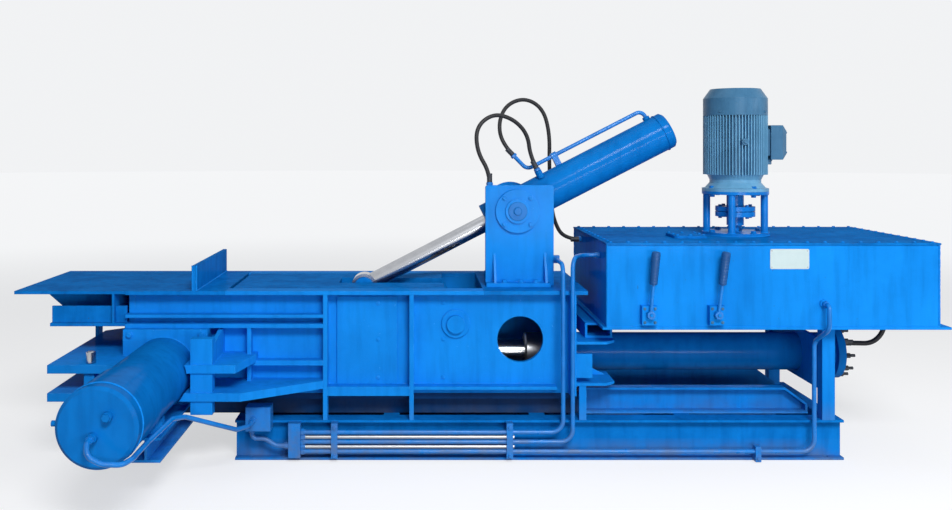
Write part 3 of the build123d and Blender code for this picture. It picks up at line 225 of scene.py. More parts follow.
# Deck, lid, chamber roof and tank cover: flat steel plates under the same enamel in a
# darker blue, as painted shade on the tops. Scrap, tools and boots scuff them, so they are duller than the
# walls.
deep_blue = (0.004, 0.185, 0.6, 1)
scuffed_shaded_paint = finish_with(
    "scuffed_enamel", enamel, {"Paint": deep_blue, "Tone": 0.75, "Tone Scale": 6.0, "Wear": 0.8},
    Specular_IOR_Level=0.0, Coat_Weight=0.03, Coat_Roughness=0.25)
dress(scuffed_shaded_paint, "discharge_deck", "chamber_roof", "lid", "lid_lugs", "gate_housing", "ram_deck",
      "tank_cover")

# Base: rolled beams and channels that lie on the floor, welded into a frame, painted
# last and dusty low down. The bearers and floor plate under the chamber are painted
# dark navy as painted shade, and only their ends under the tank show the blue coat.
base_paint = finish_with(
    "base_enamel", enamel,
    {"Paint": deep_blue, "Tone": 0.7, "Tone Scale": 4.0, "Wear": 0.6, "Dust Height": 0.1},
    Specular_IOR_Level=0.0, Coat_Weight=0.02, Coat_Roughness=0.2)
dress(base_paint, "skid_beams", "cross_channels")
# Painted shade: dark navy on the bearers and floor plate under the chamber, blending to the blue coat between
# these two reaches along the press.
painted_shade_navy = (0.002, 0.035, 0.13, 1)
shade_fades_from, shade_gone_at = 0.2, 0.26
shade_painted = finish_with(
    "primed_beams", enamel,
    {"Undercoat": (0.01, 0.03, 0.07, 1), "Tone": 0.7, "Tone Scale": 5.0, "Wear": 0.5},
    Specular_IOR_Level=0.05)
tree = shade_painted.node_tree
shaded_beam_place = node(tree, "ShaderNodeTexCoord")
shaded_beam_reach = node(tree, "ShaderNodeSeparateXYZ")
wire(tree, (shaded_beam_place.outputs["Object"], shaded_beam_reach.inputs[0]))
out_of_painted_shade = ranged(tree, shaded_beam_reach.outputs["X"], shade_fades_from, shade_gone_at, smooth=True)
shaded_beam_effect = next(part for part in tree.nodes if part.type == "GROUP")
wire(tree, (mixed(tree, out_of_painted_shade, painted_shade_navy, deep_blue), shaded_beam_effect.inputs["Paint"]))
dress(shade_painted, "floor_beams", "floor_plate")

# Cylinder barrels: honed tube with turned caps welded on, sprayed apart from the
# press under a smoother coat.
barrel_paint = finish_with(
    "barrel_enamel", enamel,
    {"Paint": (0.003, 0.165, 0.54, 1), "Tone": 0.55, "Tone Scale": 3.0, "Peel": 0.22, "Wear": 0.25},
    Specular_IOR_Level=0.0, Coat_Weight=0.09, Coat_Roughness=0.14)
dress(barrel_paint, "side_barrel", "side_end_cap", "main_barrel", "main_tail_cap", "lift_barrel",
      "lift_end_cap", "gate_barrel")

# Rods: round bar, ground and hard chromed, with slow changes of gloss where the seals
# have polished it.


def worked_steel():
    """Steel as it was drawn, turned or ground: a grain that is finer across its lines."""
    tree, given, result = open_group(
        "worked_steel",
        [("Metal", "NodeSocketColor", (0.6, 0.6, 0.6, 1)),
         ("Lines", "NodeSocketVector", (1, 1, 1)),
         ("Smooth", "NodeSocketFloat", 0.1),
         ("Rough", "NodeSocketFloat", 0.25),
         ("Depth", "NodeSocketFloat", 0.2)],
        [("Color", "NodeSocketColor"), ("Roughness", "NodeSocketFloat"), ("Normal", "NodeSocketVector")])
    place = node(tree, "ShaderNodeTexCoord").outputs["Object"]
    drawn = node(tree, "ShaderNodeVectorMath", operation="MULTIPLY")
    wire(tree, (place, drawn.inputs[0]), (given.outputs["Lines"], drawn.inputs[1]))
    grain = noise(tree, drawn.outputs[0], scale=14, detail=6)
    tint = mixed(tree, grain, given.outputs["Metal"], (0.62, 0.63, 0.66, 1), "MULTIPLY")
    gloss = ranged(tree, grain, 0.0, 1.0, low=given.outputs["Smooth"], high=given.outputs["Rough"])
    bump = node(tree, "ShaderNodeBump")
    bump.inputs["Distance"].default_value = 0.0004
    wire(tree, (grain, bump.inputs["Height"]), (given.outputs["Depth"], bump.inputs["Strength"]),
         (tint, result.inputs["Color"]), (gloss, result.inputs["Roughness"]),
         (bump.outputs[0], result.inputs["Normal"]))
    return tree


steel = worked_steel()
chrome = finish_with(
    "ground_chrome", steel,
    {"Metal": (0.56, 0.57, 0.59, 1), "Lines": (1.5, 1.5, 1.5), "Smooth": 0.16, "Rough": 0.3, "Depth": 0.0},
    Metallic=1.0)
dress(chrome, "side_rod", "main_rod", "lift_rod", "gate_rod")

# Bare steel: turned and milled heads, glands and pins, and the pipes that were left
# unpainted. The tail bolts are blacked by their heat treatment.
bare_steel = finish_with(
    "machined_steel", steel,
    {"Metal": (0.42, 0.43, 0.45, 1), "Lines": (5, 12, 12), "Smooth": 0.25, "Rough": 0.5, "Depth": 0.4},
    Metallic=1.0)
dress(bare_steel, "main_gland", "side_pusher_head", "main_pusher_head", "steel_pipes", "yoke_pin")
dark_steel = finish_with(
    "black_steel", steel,
    {"Metal": (0.05, 0.055, 0.065, 1), "Lines": (12, 12, 12), "Smooth": 0.35, "Rough": 0.6, "Depth": 0.3},
    Metallic=0.7)
dress(dark_steel, "tail_bolts")

# Oil tank: folded sheet with welded corners on angle legs, sprayed like the press.
# Its large flat sides show the tone of the spray most.
tank_paint = finish_with(
    "tank_enamel", enamel, {"Paint": blue, "Tone": 0.6, "Tone Scale": 1.8, "Wear": 0.3},
    Specular_IOR_Level=0.0, Coat_Weight=0.03, Coat_Roughness=0.12)
dress(tank_paint, "oil_tank", "tank_supports", "valve_blocks")

# Motor: a cast frame with cooling fins and a pressed cowl, in the grey-blue that it
# was bought in. The stand and the coupling under it are turned and welded steel.
motor_paint = finish_with(
    "motor_enamel", enamel,
    {"Paint": (0.05, 0.16, 0.29, 1), "Undercoat": (0.05, 0.06, 0.07, 1), "Tone": 0.5, "Tone Scale": 9.0,
     "Peel": 0.6, "Wear": 0.35, "Corner": 0.002},
    Specular_IOR_Level=0.15, Coat_Weight=0.03, Coat_Roughness=0.3)
dress(motor_paint, "fan_cowl", "terminal_box")
fin_paint = finish_with(
    "fin_enamel", enamel,
    {"Paint": (0.13, 0.34, 0.54, 1), "Undercoat": (0.05, 0.06, 0.07, 1), "Tone": 0.5, "Tone Scale": 9.0,
     "Peel": 0.6, "Wear": 0.35, "Corner": 0.0015},
    Specular_IOR_Level=0.2, Coat_Weight=0.03, Coat_Roughness=0.3)
dress(fin_paint, "motor")
stand_paint = finish_with(
    "stand_enamel", enamel,
    {"Paint": deep_blue, "Tone": 0.6, "Tone Scale": 8.0, "Wear": 0.5, "Corner": 0.002},
    Specular_IOR_Level=0.05, Coat_Weight=0.08, Coat_Roughness=0.12)
dress(stand_paint, "motor_stand", "shaft_coupling")

# Pipes, clamps and levers: cold drawn steel, bent and screwed together on the
# machine and painted over in place.
pipe_paint = finish_with(
    "pipe_enamel", enamel,
    {"Paint": deep_blue, "Tone": 0.6, "Tone Scale": 12.0, "Wear": 0.4, "Corner": 0.001},
    Specular_IOR_Level=0.25, Coat_Weight=0.12, Coat_Roughness=0.1)
dress(pipe_paint, "hydraulic_pipes", "pipe_clamps", "lift_feed_pipe", "valve_lever_left",
      "valve_lever_right")

# Weld seams: the beads that join plates, ledges, barrels and tank, laid by hand in
# short ripples and painted over with the plates.


def open_growth(name, inputs):
    """Start a geometry tree with named sizes and return it with its input and output nodes."""
    tree = bpy.data.node_groups.new(name, "GeometryNodeTree")
    tree.interface.new_socket("Geometry", in_out="INPUT", socket_type="NodeSocketGeometry")
    for label, kind, value in inputs:
        tree.interface.new_socket(label, in_out="INPUT", socket_type=kind).default_value = value
    tree.interface.new_socket("Paint", in_out="INPUT", socket_type="NodeSocketMaterial")
    tree.interface.new_socket("Geometry", in_out="OUTPUT", socket_type="NodeSocketGeometry")
    return tree, node(tree, "NodeGroupInput"), node(tree, "NodeGroupOutput")


def read_mesh(piece):
    """What an object looks like with its modifiers, as a plain mesh."""
    bpy.context.view_layer.update()
    return bpy.data.meshes.new_from_object(piece.evaluated_get(bpy.context.evaluated_depsgraph_get()))


def grown(name, growth, seed, paint, body, slot, **sizes):
    """Run a geometry tree over a seed mesh and keep the result as a plain piece on a body."""
    piece = bpy.data.objects.new(name, seed)
    bpy.context.scene.collection.objects.link(piece)
    grower = piece.modifiers.new(name, "NODES")
    grower.node_group = growth
    sizes["Paint"] = paint
    for socket in growth.interface.items_tree:
        label = socket.name.replace(" ", "_")
        if socket.in_out == "INPUT" and label in sizes:
            grower[socket.identifier] = sizes[label]
    mesh = read_mesh(piece)
    piece.modifiers.remove(grower)
    piece.data = mesh
    bpy.data.meshes.remove(seed)
    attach(piece, body)
    return piece


def weld_bead():
    """A bead along the edges of the seed, whose width ripples from step to step."""
    tree, given, result = open_growth("weld_bead", [
        ("Radius", "NodeSocketFloat", 0.0045), ("Step", "NodeSocketFloat", 0.008),
        ("Ripple", "NodeSocketFloat", 0.16), ("Seed", "NodeSocketInt", 3)])
    line = node(tree, "GeometryNodeMeshToCurve")
    steps = node(tree, "GeometryNodeResampleCurve", mode="LENGTH")
    profile = node(tree, "GeometryNodeCurvePrimitiveCircle", mode="RADIUS")
    profile.inputs["Resolution"].default_value = 7
    narrow = maths(tree, "SUBTRACT", 1.0, given.outputs["Ripple"], clamp=False)
    wide = maths(tree, "ADD", 1.0, given.outputs["Ripple"], clamp=False)
    width = node(tree, "FunctionNodeRandomValue", data_type="FLOAT")
    tube = node(tree, "GeometryNodeCurveToMesh")
    tube.inputs["Fill Caps"].default_value = True
    smooth = node(tree, "GeometryNodeSetShadeSmooth")
    real = node(tree, "GeometryNodeRealizeInstances")
    painted = node(tree, "GeometryNodeSetMaterial")
    wire(tree, (given.outputs["Geometry"], line.inputs["Mesh"]), (line.outputs[0], steps.inputs["Curve"]),
         (given.outputs["Step"], steps.inputs["Length"]), (given.outputs["Radius"], profile.inputs["Radius"]),
         (narrow, width.inputs[2]), (wide, width.inputs[3]), (given.outputs["Seed"], width.inputs["Seed"]),
         (steps.outputs[0], tube.inputs["Curve"]), (profile.outputs[0], tube.inputs["Profile Curve"]),
         (width.outputs[1], tube.inputs["Scale"]), (tube.outputs[0], smooth.inputs["Geometry"]),
         (smooth.outputs[0], real.inputs[0]), (real.outputs[0], painted.inputs["Geometry"]),
         (given.outputs["Paint"], painted.inputs["Material"]),
         (painted.outputs[0], result.inputs["Geometry"]))
    return tree


def circle(centre, axis, radius, count):
    """Points round an axis."""
    axis = Vector(axis).normalized()
    across = axis.orthogonal().normalized()
    over = axis.cross(across)
    turns = [2 * math.pi * step / count for step in range(count)]
    return [Vector(centre) + radius * (across * math.cos(turn) + over * math.sin(turn)) for turn in turns]


def ring(centre, axis, radius, count=48):
    """A closed run of points round an axis."""
    points = circle(centre, axis, radius, count)
    return points + points[:1]


def seam_mesh(name, runs):
    """A mesh of edges, one chain for each run of points."""
    places, edges = [], []
    for run in runs:
        closed = Vector(run[0]) == Vector(run[-1])
        points = run[:-1] if closed else run
        start = len(places)
        places += [tuple(point) for point in points]
        edges += [(start + step, start + step + 1) for step in range(len(points) - 1)]
        if closed:
            edges.append((start + len(points) - 1, start))
    mesh = bpy.data.meshes.new(name)
    mesh.from_pydata(places, edges, [])
    return mesh


bead = weld_bead()
wall_y, wall_left, wall_foot, wall_top = 0.33, -2.08, 0.32, 0.829
left_rib, right_rib, rib_foot = (-1.088, -1.066), (-0.654, -0.632), 0.368
lower_ledge, upper_ledge, flange_left = (0.663, 0.683), (0.714, 0.73), -1.55
foot_ledge, foot_ledge_right = (0.352, 0.368), 0.089
panel, panel_top = (-1.022, -0.717), 0.813
hinge, boss_radius = (-0.418, 0.673), 0.071
end_plate, gussets, gusset_y = (0.156, 0.186), (0.372, 0.386, 0.58, 0.594), (0.132, 0.398)
sill, sill_y, sill_z = (0.244, 1.403), 0.262, 0.2
tank, tank_y, tank_foot, tank_top = (0.322, 1.962), 0.49, 0.684, 1.09
seams = []
for side in (-1, 1):
    y = side * wall_y
    for x, stops in ((left_rib[0], (wall_foot, *lower_ledge, *upper_ledge, wall_top)),
                     (left_rib[1], (rib_foot, wall_top)), (right_rib[0], (rib_foot, wall_top)),
                     (right_rib[1], (rib_foot, wall_top)), (end_plate[0], (wall_foot, wall_top))):
        seams += [[(x, y, low), (x, y, high)] for low, high in zip(stops[::2], stops[1::2])]
    level = [(wall_left, left_rib[0], z) for z in lower_ledge + upper_ledge]
    level += [(left_rib[1], right_rib[0], rib_foot), (left_rib[1], right_rib[0], wall_top),
              (right_rib[1], end_plate[0], wall_top)]
    level += [(right_rib[1], foot_ledge_right, z) for z in foot_ledge]
    level.append((flange_left, left_rib[0], wall_top))
    seams += [[(start, y, z), (end, y, z)] for start, end, z in level]
    seams.append([(panel[0], y, rib_foot), (panel[0], y, panel_top), (panel[1], y, panel_top),
                  (panel[1], y, rib_foot)])
    seams.append(ring((hinge[0], y, hinge[1]), (0, 1, 0), boss_radius))
    seams += [[(end_plate[1], side * gusset_y[0], z), (end_plate[1], side * gusset_y[1], z)] for z in gussets]
    seams.append([(x, side * sill_y, sill_z) for x in sill])
    seams += [[(x, side * tank_y, tank_foot), (x, side * tank_y, tank_top)] for x in tank]
    seams.append([(x, side * tank_y, tank_foot) for x in tank])
seams += [[(x, -tank_y, tank_foot), (x, tank_y, tank_foot)] for x in tank]

deck_top, flange_y = 0.849, 0.398
cross_plate, cross_plate_top = (-1.745, -1.725), 0.977
seams += [[(x, -flange_y, deck_top), (x, flange_y, deck_top)] for x in cross_plate]
seams += [[(x, -flange_y, deck_top), (x, -flange_y, cross_plate_top)] for x in cross_plate]
mount_y, mount_left, mount_right = -0.44, (-2.08, -2.03), (-1.74, -1.66)
yoke_levels, yoke_edge, yoke_reach = (0.398, 0.492, 0.532), -2.082, (-wall_y, 0.32)
for z in yoke_levels:
    seams += [[(x, mount_y, z) for x in mount_left], [(x, mount_y, z) for x in mount_right],
              [(yoke_edge, y, z) for y in yoke_reach]]
bracket_near, bracket_near_inner, bracket_far = (-0.256, 0.076), (-0.256, 0.101), (-0.23, 0.025)
bracket_y, bracket_inner, bracket_foot_top = 0.195, 0.17, 0.869
seams += [[(x, -bracket_y, bracket_foot_top) for x in bracket_near],
          [(x, -bracket_inner, deck_top) for x in bracket_near_inner],
          [(x, bracket_y, bracket_foot_top) for x in bracket_far]]
wing_post, wing_web, wing_reach, wing_top = (-1.615, -1.595), (-1.47, -1.45), (-0.58, -wall_y), 0.532
seams += [[(x, y, wing_top) for y in wing_reach] for x in wing_post]
seams += [[(x, -wall_y, z) for z in (yoke_levels[0], lower_ledge[0])] for x in wing_web]
seams += [[(x, y, z) for x in (wing_web[1], left_rib[0])] for y, z in ((-wall_y, 0.5), (-flange_y, 0.478))]

axis_z, side_x, flange_x, tail_x = 0.466, -1.88, 0.226, 1.62
side_joints = ((mount_y, 0.158), (-1.112, 0.158), (-1.402, 0.1665))
seams += [ring((side_x, y, axis_z), (0, 1, 0), radius) for y, radius in side_joints]
seams += [ring((x, 0, axis_z), (1, 0, 0), 0.1) for x in (flange_x, tail_x)]
motor_x, post_circle, post_radius = 1.115, 0.15, 0.019
stand_foot, stand_foot_top, stand_top_under, stand_radius = 1.099, 1.115, 1.319, 0.174
seams.append(ring((motor_x, 0, stand_foot), (0, 0, 1), stand_radius))
for turn in (65, 155, 245, 335):
    turn = math.radians(turn)
    x, y = motor_x + post_circle * math.cos(turn), post_circle * math.sin(turn)
    seams += [ring((x, y, z), (0, 0, 1), post_radius, 16) for z in (stand_foot_top, stand_top_under)]
grown("body_welds", bead, seam_mesh("body_welds", seams), body_paint, "machine", "press_paint")

# Welds of the lid cylinder: a bead round each joint of its barrel, where the ring of
# the trunnions and the tail cap are welded on.
trunnion_x, trunnion_z, barrel_radius, tilt = -0.09, 1.238, 0.1, math.radians(27.183)
barrel_way = Vector((math.cos(tilt), 0, math.sin(tilt)))
barrel_up = Vector((-math.sin(tilt), 0, math.cos(tilt)))


def along(reach, height, y=0.0):
    """A point by its reach along the lid cylinder from the trunnion and its height over the axis."""
    return Vector((trunnion_x, y, trunnion_z)) + reach * barrel_way + height * barrel_up


barrel_rings = [ring(along(reach, 0), barrel_way, barrel_radius) for reach in (-0.07, 0.07, 0.9)]
grown("lid_cylinder_welds", bead, seam_mesh("lid_cylinder_welds", barrel_rings), barrel_paint,
      "lift_cylinder", "cylinder_paint")

# Screws, nuts and pipe unions: turned and hexagon steel parts, painted over with the
# plates that they hold. Each is a collar or washer with a chamfered head on it.


def upright(tree, length):
    """A vector that points up by a length."""
    made = node(tree, "ShaderNodeCombineXYZ")
    wire(tree, (length, made.inputs["Z"]))
    return made.outputs[0]


def turned(tree, sides, radius, height, crown):
    """A closed prism that narrows to the crown over its last fifth."""
    base = node(tree, "GeometryNodeMeshCircle", fill_type="NGON")
    put(tree, base.inputs["Vertices"], sides)
    body = node(tree, "GeometryNodeExtrudeMesh", mode="FACES")
    rim = node(tree, "GeometryNodeExtrudeMesh", mode="FACES")
    for extruded, share in ((body, 0.8), (rim, 0.2)):
        extruded.inputs["Individual"].default_value = False
        extruded.inputs["Offset Scale"].default_value = 1
        offset = upright(tree, maths(tree, "MULTIPLY", height, share, clamp=False))
        wire(tree, (offset, extruded.inputs["Offset"]))
    narrow = node(tree, "GeometryNodeScaleElements", domain="FACE")
    narrow.inputs["Scale"].default_value = crown
    under = node(tree, "GeometryNodeFlipFaces")
    shut = node(tree, "GeometryNodeJoinGeometry")
    merged = node(tree, "GeometryNodeMergeByDistance")
    merged.inputs["Distance"].default_value = 0.00001
    wire(tree, (radius, base.inputs["Radius"]), (base.outputs[0], body.inputs["Mesh"]),
         (body.outputs["Mesh"], rim.inputs["Mesh"]), (body.outputs["Top"], rim.inputs["Selection"]),
         (rim.outputs["Mesh"], narrow.inputs["Geometry"]), (rim.outputs["Top"], narrow.inputs["Selection"]),
         (base.outputs[0], under.inputs["Mesh"]), (narrow.outputs[0], shut.inputs[0]),
         (under.outputs[0], shut.inputs[0]), (shut.outputs[0], merged.inputs["Geometry"]))
    return merged.outputs[0]


def hexagon_screw():
    """A screw on each point of the seed, which faces the point's own way with a chance turn."""
    tree, given, result = open_growth("hexagon_screw", [
        ("Head Radius", "NodeSocketFloat", 0.0095), ("Head Height", "NodeSocketFloat", 0.0065),
        ("Collar Radius", "NodeSocketFloat", 0.0125), ("Collar Height", "NodeSocketFloat", 0.002),
        ("Sides", "NodeSocketInt", 6), ("Seed", "NodeSocketInt", 5)])
    head = turned(tree, given.outputs["Sides"], given.outputs["Head Radius"], given.outputs["Head Height"],
                  0.86)
    collar = turned(tree, 20, given.outputs["Collar Radius"], given.outputs["Collar Height"], 0.94)
    lifted = node(tree, "GeometryNodeTransform")
    whole = node(tree, "GeometryNodeJoinGeometry")
    way = node(tree, "GeometryNodeInputNamedAttribute", data_type="FLOAT_VECTOR")
    way.inputs["Name"].default_value = "facing"
    aim = node(tree, "FunctionNodeAlignRotationToVector", axis="Z")
    stood = node(tree, "GeometryNodeInstanceOnPoints")
    chance = node(tree, "FunctionNodeRandomValue", data_type="FLOAT_VECTOR")
    chance.inputs[0].default_value = (0, 0, 0)
    chance.inputs[1].default_value = (0, 0, 1.05)
    spun = node(tree, "GeometryNodeRotateInstances")
    real = node(tree, "GeometryNodeRealizeInstances")
    painted = node(tree, "GeometryNodeSetMaterial")
    wire(tree, (upright(tree, given.outputs["Collar Height"]), lifted.inputs["Translation"]),
         (head, lifted.inputs["Geometry"]), (lifted.outputs[0], whole.inputs[0]), (collar, whole.inputs[0]),
         (whole.outputs[0], stood.inputs["Instance"]), (given.outputs["Geometry"], stood.inputs["Points"]),
         (way.outputs[0], aim.inputs["Vector"]), (aim.outputs[0], stood.inputs["Rotation"]),
         (given.outputs["Seed"], chance.inputs["Seed"]), (stood.outputs[0], spun.inputs["Instances"]),
         (chance.outputs[0], spun.inputs["Rotation"]), (spun.outputs[0], real.inputs[0]),
         (real.outputs[0], painted.inputs["Geometry"]), (given.outputs["Paint"], painted.inputs["Material"]),
         (painted.outputs[0], result.inputs["Geometry"]))
    return tree


def spots(name, places):
    """A seed mesh of loose points, each with the way that its screw faces."""
    mesh = bpy.data.meshes.new(name)
    mesh.from_pydata([tuple(place) for place, way in places], [], [])
    facing = mesh.attributes.new("facing", "FLOAT_VECTOR", "POINT")
    facing.data.foreach_set("vector", [value for place, way in places for value in way])
    return mesh


def screws(name, places, paint, body, slot, head, height, collar, rise, sides=6):
    """Screws of one size on a body: radius and height of the head, radius and rise of the collar."""
    return grown(name, screw, spots(name, places), paint, body, slot, Head_Radius=head, Head_Height=height,
                 Collar_Radius=collar, Collar_Height=rise, Sides=sides)


screw = hexagon_screw()
up, down, front, back, right, left = (0, 0, 1), (0, 0, -1), (0, -1, 0), (0, 1, 0), (1, 0, 0), (-1, 0, 0)

cover_low, cover_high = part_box("tank_cover")
cover_top, long_pitches, short_pitches = 1.099, 18, 11
end_inset, near_inset, far_inset = 0.028, 0.034, 0.026
rim_x = (cover_low[0] + end_inset, cover_high[0] - end_inset)
rim_y = (cover_low[1] + near_inset, cover_high[1] - far_inset)
cover_places = []
for step in range(long_pitches + 1):
    x = rim_x[0] + (rim_x[1] - rim_x[0]) * step / long_pitches
    cover_places += [((x, y, cover_top), up) for y in rim_y]
for step in range(1, short_pitches):
    y = rim_y[0] + (rim_y[1] - rim_y[0]) * step / short_pitches
    cover_places += [((x, y, cover_top), up) for x in rim_x]
screws("cover_screws", cover_places, tank_paint, "machine", "tank_paint",
       head=0.0085, height=0.005, collar=0.0115, rise=0.0015)

hatch_x, hatch_y, hatch_top = 0.806, -0.15, 1.113
hatch_places = [((hatch_x + x, hatch_y + y, hatch_top), up)
                for x in (-0.068, 0, 0.068) for y in (-0.082, 0, 0.082) if x or y]
screws("hatch_screws", hatch_places, tank_paint, "machine", "tank_paint",
       head=0.0075, height=0.005, collar=0.01, rise=0.0015)

stand_top, stand_places = 1.351, []
for turn in (20, 110, 200, 290):
    turn = math.radians(turn)
    x, y = motor_x + post_circle * math.cos(turn), post_circle * math.sin(turn)
    stand_places += [((x, y, stand_foot_top), up), ((x, y, stand_top), up), ((x, y, stand_top_under), down)]
screws("stand_screws", stand_places, stand_paint, "machine", "stand_paint",
       head=0.0145, height=0.011, collar=0.018, rise=0.003)

bracket_bolt_y, flange_bolt = 0.235, (0.112, 0.072)
plate_places = [((x, mount_y, z), front) for x in (-2.05, -1.69) for z in (0.318, 0.636)]
plate_places += [((x, -bracket_bolt_y, bracket_foot_top), up) for x in (-0.16, -0.075, 0.005)]
plate_places += [((x, bracket_bolt_y, bracket_foot_top), up) for x in (-0.14, -0.07)]
plate_places += [((flange_x, y, axis_z + z), right) for y in (-flange_bolt[0], flange_bolt[0])
                 for z in (-flange_bolt[1], flange_bolt[1])]
screws("plate_screws", plate_places, body_paint, "machine", "press_paint",
       head=0.0145, height=0.011, collar=0.0195, rise=0.003)

clamp_y = -0.446
clamp_places = [((x, clamp_y, z), front) for x in (-1.028, -0.153) for z in (0.032, 0.174)]
clamp_places += [((1.085, clamp_y, 0.022), front)]
screws("clamp_screws", clamp_places, pipe_paint, "machine", "pipe_paint",
       head=0.0085, height=0.006, collar=0.0115, rise=0.002)

cowl_radius, cowl_z, box_face, lever_z, valve_face = 0.168, 1.762, 1.376, 0.754, -0.53
small_places = []
for turn in (45, 135, 225, 315):
    turn = math.radians(turn)
    outward = (math.cos(turn), math.sin(turn), 0)
    small_places.append(((motor_x + cowl_radius * outward[0], cowl_radius * outward[1], cowl_z), outward))
small_places += [((box_face, y, z), right) for y in (-0.037, 0.037) for z in (1.544, 1.651)]
small_places += [((x, valve_face, lever_z + z), front) for x in (0.499, 0.549, 0.83, 0.88)
                 for z in (-0.04, 0.027)]
screws("small_screws", small_places, motor_paint, "machine", "motor_paint",
       head=0.0055, height=0.004, collar=0.0075, rise=0.0015)
screws("cable_glands", [((1.285, y, 1.505), down) for y in (-0.034, 0.034)], motor_paint, "machine",
       "motor_paint", head=0.015, height=0.018, collar=0.018, rise=0.008)

plug_places = [((x, y, z), front) for x, y in ((-0.813, -0.34), (-0.482, -wall_y))
               for z in (0.778, 0.594, 0.401)]
screws("wall_plugs", plug_places, body_paint, "machine", "press_paint",
       head=0.006, height=0.002, collar=0.0105, rise=0.003, sides=12)
for name, y, way in (("near", -0.225, front), ("far", 0.225, back)):
    screws(name + "_trunnion_cap", [((trunnion_x, y, trunnion_z), way)], barrel_paint, "machine",
           "press_paint", head=0.021, height=0.007, collar=0.05, rise=0.0035, sides=24)

pipe_y = -0.426
union_places = [((-1.173, pipe_y, z), left) for z in (0.148, 0.124, 0.1, 0.076, 0.052)]
union_places += [((0.115, -0.222, 0.985), back), ((0.298, -0.3, 1.019), right),
                 ((1.392, -0.524, 0.8), back), ((-1.89, -1.524, 0.434), back),
                 ((-1.425, -0.512, 0.229), back), ((-1.44, pipe_y, 0.146), up),
                 ((-1.281, pipe_y, 0.081), right)]
screws("pipe_unions", union_places, pipe_paint, "machine", "pipe_paint",
       head=0.0172, height=0.016, collar=0.0145, rise=0.008)

# Hoses: black rubber over wire braid, in a free loop between two crimped fittings.
# Two feed the lid cylinder, and a short one goes from the main cylinder to the tank.


def smooth_rubber():
    """Rubber that was cured in a wrap: a fine grain in its colour, gloss and relief."""
    tree, given, result = open_group(
        "hose_rubber",
        [("Rubber", "NodeSocketColor", (0.004, 0.004, 0.006, 1)), ("Wrap", "NodeSocketFloat", 260.0)],
        [("Color", "NodeSocketColor"), ("Roughness", "NodeSocketFloat"), ("Normal", "NodeSocketVector")])
    place = node(tree, "ShaderNodeTexCoord").outputs["Object"]
    grain = noise(tree, place, given.outputs["Wrap"], detail=4)
    tint = mixed(tree, grain, given.outputs["Rubber"], (0.016, 0.017, 0.02, 1))
    gloss = ranged(tree, grain, 0.0, 1.0, low=0.38, high=0.62)
    bump = node(tree, "ShaderNodeBump")
    bump.inputs["Distance"].default_value = 0.0006
    bump.inputs["Strength"].default_value = 0.5
    wire(tree, (grain, bump.inputs["Height"]), (tint, result.inputs["Color"]),
         (gloss, result.inputs["Roughness"]), (bump.outputs[0], result.inputs["Normal"]))
    return tree


rubber = finish_with("hose_rubber", smooth_rubber(), {"Wrap": 180.0}, Specular_IOR_Level=0.3)


def spline_through(route):
    """The smooth line of a hose, as a curve with the route's points as its control points."""
    curve = bpy.data.curves.new("line", "CURVE")
    curve.dimensions = "3D"
    curve.resolution_u = 10
    spline = curve.splines.new("NURBS")
    spline.points.add(len(route) - 1)
    for point, place in zip(spline.points, route):
        point.co = (*place, 1)
    spline.order_u = 3
    spline.use_endpoint_u = True
    return curve


def read_curve(curve, name):
    """The curve as Blender draws it, as a mesh."""
    holder = bpy.data.objects.new(name, curve)
    bpy.context.scene.collection.objects.link(holder)
    mesh = read_mesh(holder)
    bpy.data.objects.remove(holder)
    return mesh


def hose(name, route, diameter):
    """A round hose along the route, and the points of its centre line."""
    line = [vertex.co.copy() for vertex in read_curve(spline_through(route), name).vertices]
    curve = spline_through(route)
    curve.bevel_depth = diameter / 2
    curve.bevel_resolution = 5
    curve.use_fill_caps = True
    mesh = read_curve(curve, name)
    mesh.polygons.foreach_set("use_smooth", [True] * len(mesh.polygons))
    mesh.materials.clear()
    mesh.materials.append(rubber)
    piece = bpy.data.objects.new(name, mesh)
    bpy.context.scene.collection.objects.link(piece)
    return piece, line


lid_hose_diameter, return_hose_diameter = 0.022, 0.026
near_route = [(-0.234, -0.182, 1.373), (-0.234, -0.182, 1.44), (-0.3, -0.182, 1.55), (-0.304, -0.17, 1.68),
              (-0.21, -0.14, 1.752), (-0.1, -0.11, 1.722), (-0.02, -0.07, 1.64), (-0.0054, -0.05, 1.5243),
              (0.0357, -0.05, 1.4442)]
far_route = [(-0.0805, 0.022, 1.5194), (-0.147, 0.022, 1.5876), (-0.168, 0.06, 1.7), (-0.12, 0.12, 1.808),
             (-0.008, 0.165, 1.85), (0.096, 0.19, 1.79), (0.134, 0.196, 1.65), (0.132, 0.2, 1.48),
             (0.14, 0.205, 1.3), (0.158, 0.215, 1.16), (0.22, 0.23, 1.05), (0.322, 0.23, 1.05)]
return_route = [(1.662, -0.04, 0.516), (1.748, -0.04, 0.516), (1.832, -0.043, 0.514), (1.886, -0.046, 0.558),
                (1.908, -0.045, 0.622), (1.908, -0.045, 0.672)]
near_hose, near_line = hose("lid_hose_near", near_route, lid_hose_diameter)
far_hose, far_line = hose("lid_hose_far", far_route, lid_hose_diameter)
return_hose, return_line = hose("return_hose", return_route, return_hose_diameter)
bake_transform(near_hose)
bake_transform(far_hose)
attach(return_hose, "machine")
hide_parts("lift_hose_near")
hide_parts("lift_hose_far")
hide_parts("suction_hose")

# Hose ends: a steel ferrule crimped on each end in five rings, with the hexagon of
# its fitting beside it.


def keep_shape(name, shape, paint, body):
    """Make a bmesh shape a piece with a finish that rides on a body."""
    mesh = bpy.data.meshes.new(name)
    shape.to_mesh(mesh)
    shape.free()
    mesh.materials.append(paint)
    piece = bpy.data.objects.new(name, mesh)
    bpy.context.scene.collection.objects.link(piece)
    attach(piece, body)
    return piece


